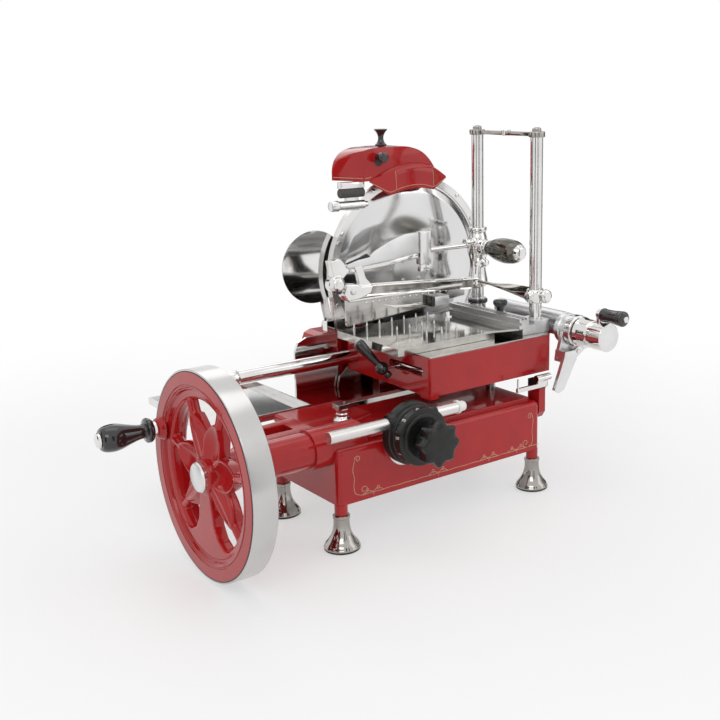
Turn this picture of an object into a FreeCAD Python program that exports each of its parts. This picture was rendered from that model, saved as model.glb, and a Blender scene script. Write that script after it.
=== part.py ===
"""Hand crank meat slicer: a flywheel slicer with a sliding carriage, a feeding meat table and a clamp.

X runs along the carriage's travel, with the flywheel at low X. Y runs from the dial side to the blade.
Z is up from the surface that the slicer stands on. The origin is under the front left foot.
"""

import FreeCAD, Part
import Sketcher
import math
import operator
import os
import sys

from FreeCAD import Placement, Rotation, Vector

DOC = FreeCAD.newDocument("HandCrankMeatSlicer")
SHEET = DOC.addObject("Spreadsheet::Sheet", "Sizes")
NODES = {}
OPERATIONS = {"+": operator.add, "-": operator.sub, "*": operator.mul, "/": operator.truediv}
TURNS = {"X": Rotation(Vector(0, 1, 0), 90), "Y": Rotation(Vector(1, 0, 0), -90), "Z": Rotation()}


class Length:
    """A number of millimetres, with the formula that gives it from the sheet."""

    def __init__(self, number, formula):
        self.number = float(number)
        self.formula = formula

    def __add__(self, other):
        return combined(self, "+", other)

    def __radd__(self, other):
        return combined(other, "+", self)

    def __sub__(self, other):
        return combined(self, "-", other)

    def __rsub__(self, other):
        return combined(other, "-", self)

    def __mul__(self, other):
        return combined(self, "*", other)

    def __rmul__(self, other):
        return combined(other, "*", self)

    def __truediv__(self, other):
        return combined(self, "/", other)


def length(value):
    if isinstance(value, Length):
        return value
    return Length(value, f"({float(value):.6f})")


def combined(first, sign, second):
    first = length(first)
    second = length(second)
    number = OPERATIONS[sign](first.number, second.number)
    return Length(number, f"({first.formula} {sign} {second.formula})")


def cosine(degrees):
    return Length(math.cos(math.radians(degrees.number)), f"cos({degrees.formula} * 1 deg)")


def sine(degrees):
    return Length(math.sin(math.radians(degrees.number)), f"sin({degrees.formula} * 1 deg)")


class Sizes:
    """The driving dimensions: each is one cell of the sheet and one attribute here."""

    def __init__(self, sizes):
        for row, (name, value) in enumerate(sizes.items(), start=1):
            SHEET.set(f"A{row}", name)
            SHEET.set(f"B{row}", str(value))
            SHEET.setAlias(f"B{row}", name)
            setattr(self, name, Length(value, f"Sizes.{name}"))


SIZES = {
    # Feet and base casting
    "feet_length": 330,
    "feet_width": 148,
    "pad_height": 3,
    "pad_radius": 21,
    "bell_radius": 23.5,
    "bell_neck": 10.5,
    "bell_top": 46,
    "leg_radius": 8.5,
    "base_margin": 8,
    "base_bottom": 60,
    "base_top": 133,
    "base_wall": 6,
    "base_round": 8,
    "ridge_inset": 12,
    "ridge_height": 4.5,
    "cover_thickness": 2.5,
    "hump_height": 10,
    "pedestal_reach": 36,
    "pedestal_overhang": 7,
    "pedestal_depth": 106,
    "pedestal_top": 120,
    # Flywheel, its shaft and the housing that carries it
    "shaft_y": 26,
    "shaft_z": 131.4,
    "shaft_radius": 9,
    "running_fit": 0.05,
    "wheel_front": -175,
    "rim_width": 31,
    "wheel_radius": 127.6,
    "tyre_thickness": 2.6,
    "rim_thickness": 21,
    "step_width": 6,
    "web_thickness": 12,
    "hub_radius": 22,
    "hub_cap_radius": 18.5,
    "hub_cap_height": 8,
    "leaf_width": 34,
    "leaf_groove": 9,
    "leaf_rim": 5,
    "neck_radius": 23,
    "neck_left": -142,
    "fairing_radius": 26,
    "fairing_length": 48,
    "deck_top": 151,
    "pin_orbit": 112,
    "pin_angle": 17.5,
    "pin_radius": 6,
    "grip_radius": 17,
    "grip_length": 64,
    "grip_flange": 15.5,
    "pin_collar": 12,
    # Blade, ring guard and the column that carries them
    "blade_inset": 60,
    "blade_z": 302,
    "blade_radius": 132.5,
    "blade_front": 219,
    "blade_thickness": 5,
    "blade_gap": 1,
    "ring_width": 11.5,
    "ring_front": 218,
    "ring_depth": 12,
    "spindle_radius": 12,
    "hub_plate_radius": 60,
    "column_depth": 32,
    "column_top": 225,
    "column_reach": 27,
    "column_cover": 17,
    "splash_thickness": 4,
    "splash_top": 224,
    "bearing_radius": 45,
    "bearing_depth": 24,
    "lower_guard_inset": 2,
    "lower_guard_top": 186,
    "lower_guard_depth": 4,
    "lower_guard_front": 212,
    # Slice deflector and tray
    "dish_reach": 18,
    "dish_z": 322,
    "dish_radius": 53,
    "dish_y": 233,
    "dish_thickness": 2,
    "dish_depth": 5,
    "dish_pivot_inset": 1,
    "dish_pivot_z": 234,
    "tray_width": 162,
    "tray_gap": 40,
    "tray_front": 174,
    "tray_depth": 185,
    "tray_bottom": 128,
    "tray_height": 10,
    "tray_wall": 2,
    # Sharpener
    "hood_reach_left": 118,
    "hood_reach_right": 59,
    "hood_front": 200,
    "hood_back": 250,
    "hood_clearance": 8.5,
    "hood_height": 48,
    "hood_corner": 23,
    "hood_wall": 4,
    "skirt_front": 190,
    "lift_knob_inset": 69,
    "lift_knob_y": 222,
    "knob_stem": 4,
    "lift_knob_height": 25,
    "front_knob_inset": 47,
    "front_knob_drop": 14,
    "front_knob_radius": 7.5,
    "front_knob_length": 19,
    "stone_reach": 14,
    "stone_width": 41,
    "stone_y": 209,
    "stone_drop": 33,
    # Thickness dial and trip rod
    "dial_x": 97.5,
    "dial_z": 139.5,
    "dial_flange": 42,
    "flange_shift": 3.5,
    "flange_rise": 12,
    "dial_radius": 39.5,
    "dial_ring_radius": 38,
    "dial_gap": 0.3,
    "dial_body_depth": 22,
    "dial_ring_depth": 15,
    "dial_knob_radius": 31.5,
    "dial_knob_depth": 34,
    "trip_y": -20,
    "trip_z": 158,
    "trip_radius": 8,
    "trip_length": 200,
    "trip_inset": 166,
    "trip_tip": 15,
    # Guide tube, pillar and rail
    "tube_y": 186.8,
    "tube_z": 193.5,
    "tube_radius": 10,
    "tube_length": 432,
    "tube_inset": 8,
    "tube_end": 19,
    "pillar_x": 50,
    "pillar_y": 69,
    "rail_top": 167,
    "rail_thickness": 6.5,
    "rail_block": 8,
    "pillar_foot": 12,
    "pillar_neck": 7.5,
    "pillar_head": 9,
    "rail_width": 12,
    "bracket_inset": 36,
    "bracket_width": 28,
    "rail_inset": 8,
    # Carriage
    "carriage_length": 250,
    "carriage_overhang": 62,
    "carriage_front": 7,
    "carriage_back": 209,
    "carriage_bottom": 169,
    "carriage_top": 222,
    "carriage_wall": 6,
    "carriage_plate": 2,
    "carriage_lip": 4,
    "slot_front": 22,
    "slot_back": 101,
    "slot_z": 200.5,
    "slot_height": 12.5,
    "corner_cut": 30,
    "rest_gap": 0.3,
    "lever_y": 87,
    "lever_z": 197.8,
    "lever_length": 50,
    "lever_lean": 31.6,
    "lever_tilt": 61.4,
    "lever_stud": 3,
    "lever_washer": 6.5,
    "lever_eye": 8.5,
    "lever_tip": 8.2,
    "lever_reach": 22,
    # Meat table
    "table_overhang": 30,
    "table_inset": 70,
    "table_front": 37,
    "table_reach": 16,
    "table_top": 235,
    "table_plate": 3,
    "table_flange": 11,
    "spike_height": 14,
    "spike_radius": 1.5,
    "slide_width": 18,
    "slide_front": 19,
    "slide_reach": 11,
    "slide_top": 250,
    "slab_top": 238,
    "slab_inset": 18.5,
    "post_inset": 30,
    "post_front": 38,
    "post_spacing": 131,
    "post_radius": 9.25,
    "post_top": 513,
    "bar_height": 8,
    "post_block": 36,
    "post_block_top": 243,
    "table_knob_reach": 18,
    "table_knob_y": 95,
    "table_knob_radius": 13.5,
    # Clamp
    "clamp_offset": 4,
    "clamp_thickness": 12,
    "collar_radius": 17,
    "collar_bottom": 285,
    "collar_height": 77,
    "front_collar_radius": 14,
    "front_collar_bottom": 266,
    "front_collar_height": 24,
    "bridge_radius": 6.5,
    "lug_reach": 23,
    "lug_length": 38,
    "lug_bottom": 283,
    "lug_height": 66,
    "press_bottom": 243,
    "press_thickness": 4,
    "press_rise": 9,
    "lock_z": 335,
    "lock_radius": 19,
    "lock_length": 78,
    "teeth": 22,
    "tooth_depth": 5,
    # Feed
    "feed_overhang": 5,
    "feed_z": 227,
    "feed_front": 3,
    "feed_back": 155,
    "feed_housing_radius": 13,
    "feed_screw": 6,
    "feed_ring_gap": 1.5,
    "feed_sleeve": 14,
    "feed_ring_radius": 23,
    "feed_drum_radius": 20.5,
    "feed_ring_front": -19,
    "feed_drum_front": -77,
    "feed_rise": 11,
    "feed_crank_height": 31.5,
    "feed_arm_front": -64,
    "feed_grip_radius": 11,
    "feed_grip_length": 42,
    "ratchet_thickness": 6,
    "ratchet_arm_front": -22,
    "ratchet_reach": 47,
    "stop_reach": 33,
    "ratchet_tip_z": 147,
    # Stop on the base's right end
    "lug_block_top": 150,
    "stop_block_height": 11,
    "stop_z": 166.5,
    "stop_radius": 5.2,
}

S = Sizes(SIZES)

# Places worked out from the sizes
S.base_left = 0 - S.base_margin
S.base_right = S.feet_length + S.base_margin
S.base_front = 0 - S.base_margin
S.base_back = S.feet_width + S.base_margin
S.pedestal_right = S.base_right + S.pedestal_overhang
S.pedestal_back = S.base_back + S.pedestal_depth
S.wheel_back = S.wheel_front + S.rim_width
S.blade_x = S.base_right - S.blade_inset
S.blade_back = S.blade_front + S.blade_thickness
S.ring_back = S.ring_front + S.ring_depth
S.ring_left = S.blade_x - S.blade_radius - S.blade_gap - S.ring_width
S.column_left = S.ring_left - S.column_reach
S.column_right = S.ring_left + S.column_cover
S.pedestal_left = S.column_left - S.pedestal_reach
S.tray_right = S.column_left - S.tray_gap
S.tray_left = S.tray_right - S.tray_width
S.column_front = S.pedestal_back - S.column_depth - S.base_round
S.lower_guard_left = S.ring_left + S.lower_guard_inset
S.dish_x = S.ring_left - S.dish_reach
S.dish_pivot_x = S.ring_left + S.dish_pivot_inset
S.hood_left = S.blade_x - S.hood_reach_left
S.hood_right = S.blade_x + S.hood_reach_right
S.hood_bottom = S.blade_z + S.blade_radius + S.hood_clearance
S.hood_top = S.hood_bottom + S.hood_height
S.lift_knob_x = S.hood_left + S.lift_knob_inset
S.front_knob_x = S.hood_left + S.front_knob_inset
S.front_knob_z = S.hood_top - S.front_knob_drop
S.stone_left = S.hood_left - S.stone_reach
S.stone_z = S.hood_bottom - S.stone_drop
S.trip_right = S.base_right - S.trip_inset
S.trip_left = S.trip_right - S.trip_length
S.rail_right = S.base_right - S.rail_inset
S.carriage_right = S.base_right + S.carriage_overhang
S.carriage_left = S.carriage_right - S.carriage_length
S.tube_right = S.carriage_right - S.tube_inset
S.tube_left = S.tube_right - S.tube_length
S.bracket_x = S.carriage_left + S.bracket_inset
S.lever_x = S.carriage_left - S.lever_reach
S.table_left = S.carriage_left - S.table_overhang
S.table_right = S.carriage_right - S.table_inset
S.slab_right = S.carriage_right - S.slab_inset
S.post_x = S.carriage_right - S.post_inset
S.post_rear = S.post_front + S.post_spacing
S.clamp_y = S.post_rear - S.clamp_offset
S.slide_back = S.post_rear + S.slide_reach
S.table_back = S.post_rear + S.table_reach
S.table_knob_x = S.post_x - S.table_knob_reach
S.collar_top = S.collar_bottom + S.collar_height
S.front_collar_top = S.front_collar_bottom + S.front_collar_height
S.lug_left = S.table_left - S.lug_reach
S.lug_right = S.lug_left + S.lug_length
S.lug_top = S.lug_bottom + S.lug_height
S.feed_x = S.carriage_right + S.feed_overhang
S.ratchet_tip_x = S.feed_x - S.ratchet_reach
S.stop_x = S.feed_x - S.stop_reach


def bind(thing, name, value):
    value = length(value)
    if "Sizes." in value.formula:
        thing.setExpression(name, value.formula)
    elif not name.startswith("Placement"):
        setattr(thing, name, value.number)


def settle(thing, x, y, z, turn=Rotation()):
    spot = [length(value) for value in (x, y, z)]
    thing.Placement = Placement(Vector(*[value.number for value in spot]), turn)
    for letter, value in zip("xyz", spot):
        bind(thing, f"Placement.Base.{letter}", value)


def along_axis(axis, across, start):
    """The point at start along an axis, with across as its other two coordinates in order."""
    first, second = across
    spots = {"X": (start, first, second), "Y": (first, start, second), "Z": (first, second, start)}
    return spots[axis]


def block(name, x, y, z):
    made = DOC.addObject("Part::Box", name)
    for side, span in (("Length", x), ("Width", y), ("Height", z)):
        bind(made, side, length(span[1]) - span[0])
    settle(made, x[0], y[0], z[0])
    return made


def rod(name, axis, across, along, radius):
    made = DOC.addObject("Part::Cylinder", name)
    bind(made, "Radius", radius)
    bind(made, "Height", length(along[1]) - along[0])
    settle(made, *along_axis(axis, across, along[0]), TURNS[axis])
    return made


def cone(name, axis, across, along, radii):
    made = DOC.addObject("Part::Cone", name)
    bind(made, "Radius1", radii[0])
    bind(made, "Radius2", radii[1])
    bind(made, "Height", length(along[1]) - along[0])
    settle(made, *along_axis(axis, across, along[0]), TURNS[axis])
    return made


def fuse(name, *things):
    made = DOC.addObject("Part::MultiFuse", name)
    made.Shapes = list(things)
    made.Refine = True
    return made


def cut(name, base, *tools):
    made = DOC.addObject("Part::Cut", name)
    made.Base = base
    made.Tool = tools[0] if len(tools) == 1 else fuse(name + "Tools", *tools)
    made.Refine = True
    return made


def common(name, first, second):
    made = DOC.addObject("Part::Common", name)
    made.Base = first
    made.Tool = second
    return made


def group(name, things):
    made = DOC.addObject("Part::Compound", name)
    made.Links = list(things)
    return made


def drawing_on(body, role):
    plane = next(item for item in body.Origin.OriginFeatures if item.Role == role)
    drawing = body.newObject("Sketcher::SketchObject", f"{body.Name}Sketch")
    drawing.AttachmentSupport = [(plane, "")]
    drawing.MapMode = "FlatFace"
    return drawing


def draw_outline(drawing, points):
    """A closed outline of straight lines, with each corner held at its place."""
    corners = [(length(u), length(v)) for u, v in points]
    spots = [Vector(u.number, v.number, 0) for u, v in corners]
    count = len(spots)
    for index in range(count):
        drawing.addGeometry(Part.LineSegment(spots[index], spots[(index + 1) % count]), False)
    for index, corner in enumerate(corners):
        drawing.addConstraint(Sketcher.Constraint("Coincident", index, 2, (index + 1) % count, 1))
        for kind, value in zip(("DistanceX", "DistanceY"), corner):
            held = drawing.addConstraint(Sketcher.Constraint(kind, -1, 1, index, 1, value.number))
            if "Sizes." in value.formula:
                drawing.setExpression(f"Constraints[{held}]", value.formula)


def plate(name, plane, points, along):
    """A flat piece: an outline in the XY, XZ or YZ plane, padded across a span of the third axis."""
    body = DOC.addObject("PartDesign::Body", name)
    drawing = drawing_on(body, f"{plane}_Plane")
    draw_outline(drawing, points)
    padded = body.newObject("PartDesign::Pad", f"{name}Pad")
    padded.Profile = drawing
    padded.Reversed = plane == "XZ"
    bind(padded, "Length", length(along[1]) - along[0])
    start = {"XY": (0, 0, along[0]), "XZ": (0, along[0], 0), "YZ": (along[0], 0, 0)}[plane]
    settle(body, *start)
    return body


def round_edges(body, radius, wanted):
    """Rounds the edges of a body's last feature whose two ends pass the test wanted."""
    DOC.recompute()
    before = body.Tip
    names = []
    for index, edge in enumerate(before.Shape.Edges):
        ends = [vertex.Point for vertex in edge.Vertexes]
        if len(ends) == 2 and wanted(ends[0], ends[1]):
            names.append(f"Edge{index + 1}")
    rounded = body.newObject("PartDesign::Fillet", f"{body.Name}Fillet")
    rounded.Base = (before, names)
    bind(rounded, "Radius", radius)
    return body


def upright(first, second):
    return abs(first.x - second.x) + abs(first.y - second.y) < 0.01


def turned(name, axis, across, profile):
    """A turned piece about an axis: its profile is (place along the axis, radius) from end to end."""
    body = DOC.addObject("PartDesign::Body", name)
    outline = [(profile[0][0], 0)] + list(profile) + [(profile[-1][0], 0)]
    if axis == "X":
        drawing = drawing_on(body, "XY_Plane")
    else:
        drawing = drawing_on(body, "XY_Plane" if axis == "Y" else "XZ_Plane")
        outline = [(radius, place) for place, radius in outline]
    draw_outline(drawing, outline)
    spun = body.newObject("PartDesign::Revolution", f"{name}Revolution")
    spun.Profile = drawing
    spun.ReferenceAxis = (drawing, ["H_Axis" if axis == "X" else "V_Axis"])
    spun.Angle = 360
    settle(body, *along_axis(axis, across, 0))
    return body


def node(name, thing):
    thing.Label = name
    NODES[name] = thing


def feet():
    pads = []
    bells = []
    for y in (0, S.feet_width):
        for x in (0, S.feet_length):
            pads.append(rod("pad", "Z", (x, y), (0, S.pad_height), S.pad_radius))
            rise = S.bell_top - S.pad_height
            profile = [
                (S.pad_height, S.bell_radius),
                (S.pad_height + rise * 0.08, S.bell_radius),
                (S.pad_height + rise * 0.2, S.bell_radius * 0.8),
                (S.pad_height + rise * 0.4, S.bell_radius * 0.57),
                (S.pad_height + rise * 0.7, S.bell_neck),
                (S.bell_top, S.bell_neck),
            ]
            bells.append(turned("bell", "Z", (x, y), profile))
    node("foot_pads", group("pads", pads))
    node("foot_bells", group("bells", bells))


def base_casting():
    shell = plate(
        "base_shell",
        "XY",
        [
            (S.base_left, S.base_front),
            (S.base_right, S.base_front),
            (S.base_right, S.base_back),
            (S.base_left, S.base_back),
        ],
        (S.base_bottom, S.base_top),
    )
    round_edges(shell, S.base_round, upright)
    top = S.base_top.number - S.base_bottom.number
    round_edges(shell, S.base_round, lambda a, b: abs(a.z - b.z) < 0.01 and abs(a.z - top) < 0.01)
    inset = S.ridge_inset
    ridge = block(
        "ridge",
        (S.base_left + inset, S.base_right - inset),
        (S.base_front + inset, S.base_back),
        (S.base_top - 1, S.base_top + S.ridge_height),
    )
    hump = plate(
        "hump",
        "XY",
        [(S.base_left + 4, 62), (30, 54), (104, 80), (104, S.base_back), (S.base_left + 4, S.base_back)],
        (S.base_top - 1, S.base_top + S.hump_height),
    )
    rise = S.hump_height.number + 1
    round_edges(hump, 5, lambda a, b: abs(a.z - b.z) < 0.01 and abs(a.z - rise) < 0.01)
    shaft = (S.shaft_y, S.shaft_z)
    fairing_end = S.base_left + S.fairing_length
    fairing = rod("fairing", "X", shaft, (S.base_left, fairing_end), S.fairing_radius)
    nose = cone("fairing_nose", "X", shaft, (fairing_end, fairing_end + 36), (S.fairing_radius, 4))
    legs = []
    for y in (0, S.feet_width):
        for x in (0, S.feet_length):
            legs.append(rod("leg", "Z", (x, y), (S.bell_top, S.base_bottom), S.leg_radius))
            root = (S.base_bottom - 1, S.base_bottom + 16)
            legs.append(rod("leg_root", "Z", (x, y), root, S.leg_radius - 1))
    pedestal = plate(
        "pedestal_shell",
        "XY",
        [
            (S.pedestal_left, S.base_back),
            (S.pedestal_right, S.base_back),
            (S.pedestal_right, S.pedestal_back),
            (S.pedestal_left, S.pedestal_back),
        ],
        (S.base_bottom + 2, S.pedestal_top),
    )
    round_edges(pedestal, S.base_round, upright)
    hollow = block(
        "base_hollow",
        (S.base_left + S.base_wall, S.base_right - S.base_wall),
        (S.base_front + S.base_wall, S.base_back - S.base_wall),
        (S.base_bottom - 1, S.base_top - S.base_wall),
    )
    rear_hollow = block(
        "pedestal_hollow",
        (S.pedestal_left + S.base_wall, S.pedestal_right - S.base_wall),
        (S.base_back + S.base_wall, S.pedestal_back - S.base_wall),
        (S.base_bottom - 1, S.pedestal_top - S.base_wall),
    )
    shell_cut = cut("base_open", fuse("base_solid", shell, ridge, hump, pedestal), hollow, rear_hollow)
    bore = rod("shaft_bore", "X", shaft, (S.base_left - 1, fairing_end - 4), S.shaft_radius + 3)
    whole = cut("base", fuse("base_whole", shell_cut, fairing, nose, *legs), bore)
    node("base_casting", whole)


def base_cover():
    gap = S.base_wall + S.rest_gap
    sheet = block(
        "cover_sheet",
        (S.base_left + gap, S.base_right - gap),
        (S.base_front + gap, S.base_back - gap),
        (S.base_bottom, S.base_bottom + S.cover_thickness),
    )
    holes = []
    for y in (0, S.feet_width):
        for x in (0, S.feet_length):
            spans = (S.base_bottom - 1, S.base_bottom + S.cover_thickness + 1)
            holes.append(rod("cover_notch", "Z", (x, y), spans, S.leg_radius + S.rest_gap))
    node("base_cover", cut("cover", sheet, *holes))


def shaft_neck():
    shaft = (S.shaft_y, S.shaft_z)
    tube = rod("neck_tube", "X", shaft, (S.neck_left, S.base_left), S.neck_radius)
    flare = rod("neck_flare", "X", shaft, (S.base_left - 24, S.base_left), S.fairing_radius)
    left = S.base_left - 82
    deck = plate(
        "neck_deck",
        "XY",
        [
            (S.base_left, S.shaft_y),
            (S.base_left, 102),
            (left, 94),
            (left - 12, 62),
            (S.neck_left + 6, S.shaft_y + 8),
            (S.neck_left + 6, S.shaft_y),
        ],
        (S.shaft_z - 12, S.deck_top),
    )
    pocket = block("neck_pocket", (left + 10, S.base_left - 22), (58, 84), (S.deck_top - 18, S.deck_top + 1))
    solid = cut("neck_solid", fuse("neck_joined", tube, flare, deck), pocket)
    bore = rod("neck_bore", "X", shaft, (S.neck_left - 1, S.base_left + 1), S.shaft_radius + S.running_fit)
    node("shaft_neck", cut("neck", solid, bore))


def leaf(name, angle, width, reach, along):
    """A pointed leaf, lens shaped, that runs outwards from the wheel's hub at an angle."""
    inner, outer = reach
    span = outer - inner
    radius = (span * span + width * width) / (width * 4)
    middle = (outer + inner) / 2
    offset = radius - width / 2
    sides = []
    for side in (-1, 1):
        y = S.shaft_y - middle * math.cos(angle) + offset * (side * math.sin(angle))
        z = S.shaft_z + middle * math.sin(angle) + offset * (side * math.cos(angle))
        sides.append(rod(f"{name}_arc", "X", (y, z), along, radius))
    return common(name, sides[0], sides[1])


def flywheel():
    shaft = (S.shaft_y, S.shaft_z)
    rim_outer = S.wheel_radius - S.tyre_thickness
    rim_inner = rim_outer - S.rim_thickness
    web_outer = rim_inner - S.step_width
    web_front = S.wheel_front + 7
    web_back = web_front + S.web_thickness
    rim = cut(
        "rim",
        rod("rim_outside", "X", shaft, (S.wheel_front, S.wheel_back), rim_outer),
        rod("rim_inside", "X", shaft, (S.wheel_front - 1, S.wheel_back + 1), rim_inner),
    )
    step = cut(
        "step",
        rod("step_outside", "X", shaft, (S.wheel_front + 4, web_back + 3), rim_inner + 1),
        rod("step_inside", "X", shaft, (S.wheel_front + 3, web_back + 4), web_outer),
    )
    disc = rod("web_disc", "X", shaft, (web_front, web_back), web_outer + 1)
    wedge = plate(
        "web_wedge",
        "YZ",
        [
            (S.shaft_y - 12, S.shaft_z - 8),
            (S.shaft_y - web_outer * 0.55, S.shaft_z - web_outer * 0.62),
            (S.shaft_y - web_outer * 0.95, S.shaft_z - web_outer * 0.5),
            (S.shaft_y - web_outer, S.shaft_z - web_outer * 1.1),
            (S.shaft_y + web_outer, S.shaft_z - web_outer * 1.1),
            (S.shaft_y + web_outer * 0.95, S.shaft_z - web_outer * 0.5),
            (S.shaft_y + web_outer * 0.55, S.shaft_z - web_outer * 0.62),
            (S.shaft_y + 12, S.shaft_z - 8),
        ],
        (web_front, web_back),
    )
    solid_web = common("web_solid", disc, wedge)
    hub = rod("hub", "X", shaft, (web_front - 4, S.wheel_back - 2), S.hub_radius)
    leaves = []
    grooves = []
    for index in range(6):
        angle = math.radians(-90 + 360 / 7 * (index + 1))
        reach = (S.hub_radius - 6, web_outer + 4)
        leaves.append(leaf(f"leaf{index}", angle, S.leaf_width, reach, (web_front - 3, web_back)))
        reach = (S.hub_radius + 6, web_outer - 8)
        narrow = S.leaf_width - S.leaf_rim * 2
        groove = (web_front - 4, web_front + S.leaf_groove - 4)
        grooves.append(leaf(f"groove{index}", angle, narrow, reach, groove))
    web = cut("web", fuse("web_joined", rim, step, solid_web, *leaves), *grooves)
    bore = rod("wheel_bore", "X", shaft, (S.wheel_front - 9, S.wheel_back + 1), S.shaft_radius)
    pin_y = S.shaft_y + S.pin_orbit * cosine(S.pin_angle)
    pin_z = S.shaft_z + S.pin_orbit * sine(S.pin_angle)
    pin_hole = rod("pin_hole", "X", (pin_y, pin_z), (S.wheel_front - 1, S.wheel_front + 18), S.pin_radius)
    node("flywheel", cut("wheel", fuse("wheel_joined", web, hub), bore, pin_hole))
    tyre = cut(
        "tyre",
        rod("tyre_outside", "X", shaft, (S.wheel_front + 0.6, S.wheel_back), S.wheel_radius),
        rod("tyre_inside", "X", shaft, (S.wheel_front - 1, S.wheel_back + 1), rim_outer),
    )
    node("wheel_tyre", tyre)
    hub_face = web_front - 4
    profile = [
        (hub_face - S.hub_cap_height, S.hub_cap_radius - 2),
        (hub_face - S.hub_cap_height + 2, S.hub_cap_radius),
        (hub_face, S.hub_cap_radius),
    ]
    cap = turned("cap", "X", shaft, profile)
    shaft_end = S.base_left + S.fairing_length - 6
    axle = rod("shaft", "X", shaft, (hub_face - 1, shaft_end), S.shaft_radius)
    node("main_shaft", fuse("capped_shaft", cap, axle))
    crank(pin_y, pin_z)


def crank(pin_y, pin_z):
    front = S.wheel_front
    grip_start = front - S.pin_collar
    grip_end = grip_start - S.grip_length
    shank = rod("pin_shank", "X", (pin_y, pin_z), (grip_end - 3, front + 18), S.pin_radius)
    collar = rod("pin_flange", "X", (pin_y, pin_z), (front - S.pin_collar + 0.3, front), 11)
    button = rod("pin_button", "X", (pin_y, pin_z), (grip_end - 4.5, grip_end - 0.3), 9.5)
    node("crank_pin", fuse("pin", shank, collar, button))
    run = S.grip_length
    profile = [
        (grip_end, S.grip_radius * 0.72),
        (grip_end + run * 0.07, S.grip_radius * 0.95),
        (grip_end + run * 0.22, S.grip_radius),
        (grip_end + run * 0.45, S.grip_radius * 0.84),
        (grip_end + run * 0.78, S.grip_radius * 0.56),
        (grip_end + run * 0.86, S.grip_radius * 0.56),
        (grip_end + run * 0.89, S.grip_flange),
        (grip_start - 1, S.grip_flange),
        (grip_start, S.grip_flange - 2),
    ]
    grip = turned("grip", "X", (pin_y, pin_z), profile)
    through = (grip_end - 1, grip_start + 1)
    bore = rod("grip_bore", "X", (pin_y, pin_z), through, S.pin_radius + S.running_fit)
    node("crank_grip", cut("crank_handle", grip, bore))


def blade_set():
    centre = (S.blade_x, S.blade_z)
    profile = [
        (S.blade_front, S.blade_radius),
        (S.blade_front + 0.6, S.blade_radius),
        (S.blade_back, S.blade_radius - 13),
    ]
    disc = turned("blade_disc", "Y", centre, profile)
    eye = rod("blade_eye", "Y", centre, (S.blade_front - 1, S.blade_back + 1), S.spindle_radius)
    node("blade", cut("blade_cut", disc, eye))
    flange = rod("spindle_flange", "Y", centre, (S.blade_back, S.ring_back - 0.5), S.hub_plate_radius)
    spindle_end = S.pedestal_back + S.bearing_depth - 4
    axle = rod("spindle_axle", "Y", centre, (S.blade_front, spindle_end), S.spindle_radius)
    node("blade_spindle", fuse("spindle", flange, axle))


def ring_guard():
    centre = (S.blade_x, S.blade_z)
    inner = S.blade_radius + S.blade_gap
    outside = rod("ring_outside", "Y", centre, (S.ring_front, S.ring_back), inner + S.ring_width)
    leg = plate(
        "ring_leg",
        "XZ",
        [
            (S.ring_left + 3.5, S.blade_z - 30),
            (S.ring_left + 28.5, S.blade_z - 40),
            (S.ring_left + 29, S.column_top),
            (S.ring_left + 7, S.column_top),
        ],
        (S.ring_front, S.ring_back),
    )
    inside = rod("ring_inside", "Y", centre, (S.ring_front - 1, S.ring_back + 1), inner)
    node("ring_guard", cut("ring", fuse("ring_solid", outside, leg), inside))
    screws = []
    middle = inner + S.ring_width / 2
    for degrees in (30, 75, 128, 158, 205):
        angle = math.radians(degrees)
        spot = (S.blade_x + middle * math.cos(angle), S.blade_z + middle * math.sin(angle))
        screws.append(rod("ring_screw", "Y", spot, (S.ring_front - 1.6, S.ring_front), 3.6))
    node("ring_screws", group("screws", screws))


def blade_column():
    centre = (S.blade_x, S.blade_z)
    wide = S.column_right
    post_half = 20
    left = plate(
        "column_stand",
        "XZ",
        [
            (S.column_left, S.pedestal_top),
            (wide, S.pedestal_top),
            (wide, S.column_top),
            (S.column_left + 14, S.column_top),
            (S.column_left + 4, S.column_top - 4),
            (S.column_left, S.column_top - 14),
        ],
        (S.column_front, S.pedestal_back),
    )
    back = plate(
        "column_back",
        "XZ",
        [
            (wide - 1, S.pedestal_top),
            (S.pedestal_right - 10, S.pedestal_top),
            (S.blade_x + 62, S.column_top + 10),
            (S.blade_x + 44, S.blade_z + 34),
            (S.blade_x + post_half, S.blade_z + 60),
            (S.blade_x + post_half, S.hood_bottom - 2),
            (S.blade_x - post_half, S.hood_bottom - 2),
            (S.blade_x - post_half, S.blade_z + 60),
            (S.blade_x - 44, S.blade_z + 34),
            (S.blade_x - 75, S.column_top + 10),
            (wide - 1, S.column_top - 14),
        ],
        (S.ring_back, S.pedestal_back),
    )
    post = block(
        "hood_post",
        (S.blade_x - post_half, S.blade_x + post_half),
        (S.ring_back, S.hood_back - S.hood_wall - 1),
        (S.hood_bottom - 3, S.hood_top - 14),
    )
    clearance = rod("hub_clearance", "Y", centre, (S.ring_back - 1, S.ring_back + 4), S.hub_plate_radius + 4)
    bearing_end = S.pedestal_back + S.bearing_depth
    bearing = rod("bearing", "Y", centre, (S.pedestal_back - 1, bearing_end), S.bearing_radius)
    through = (S.ring_back - 1, bearing_end - 3)
    bore = rod("bearing_bore", "Y", centre, through, S.spindle_radius + S.running_fit)
    node("blade_column", cut("column", fuse("column_solid", left, back, post, bearing), clearance, bore))


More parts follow.
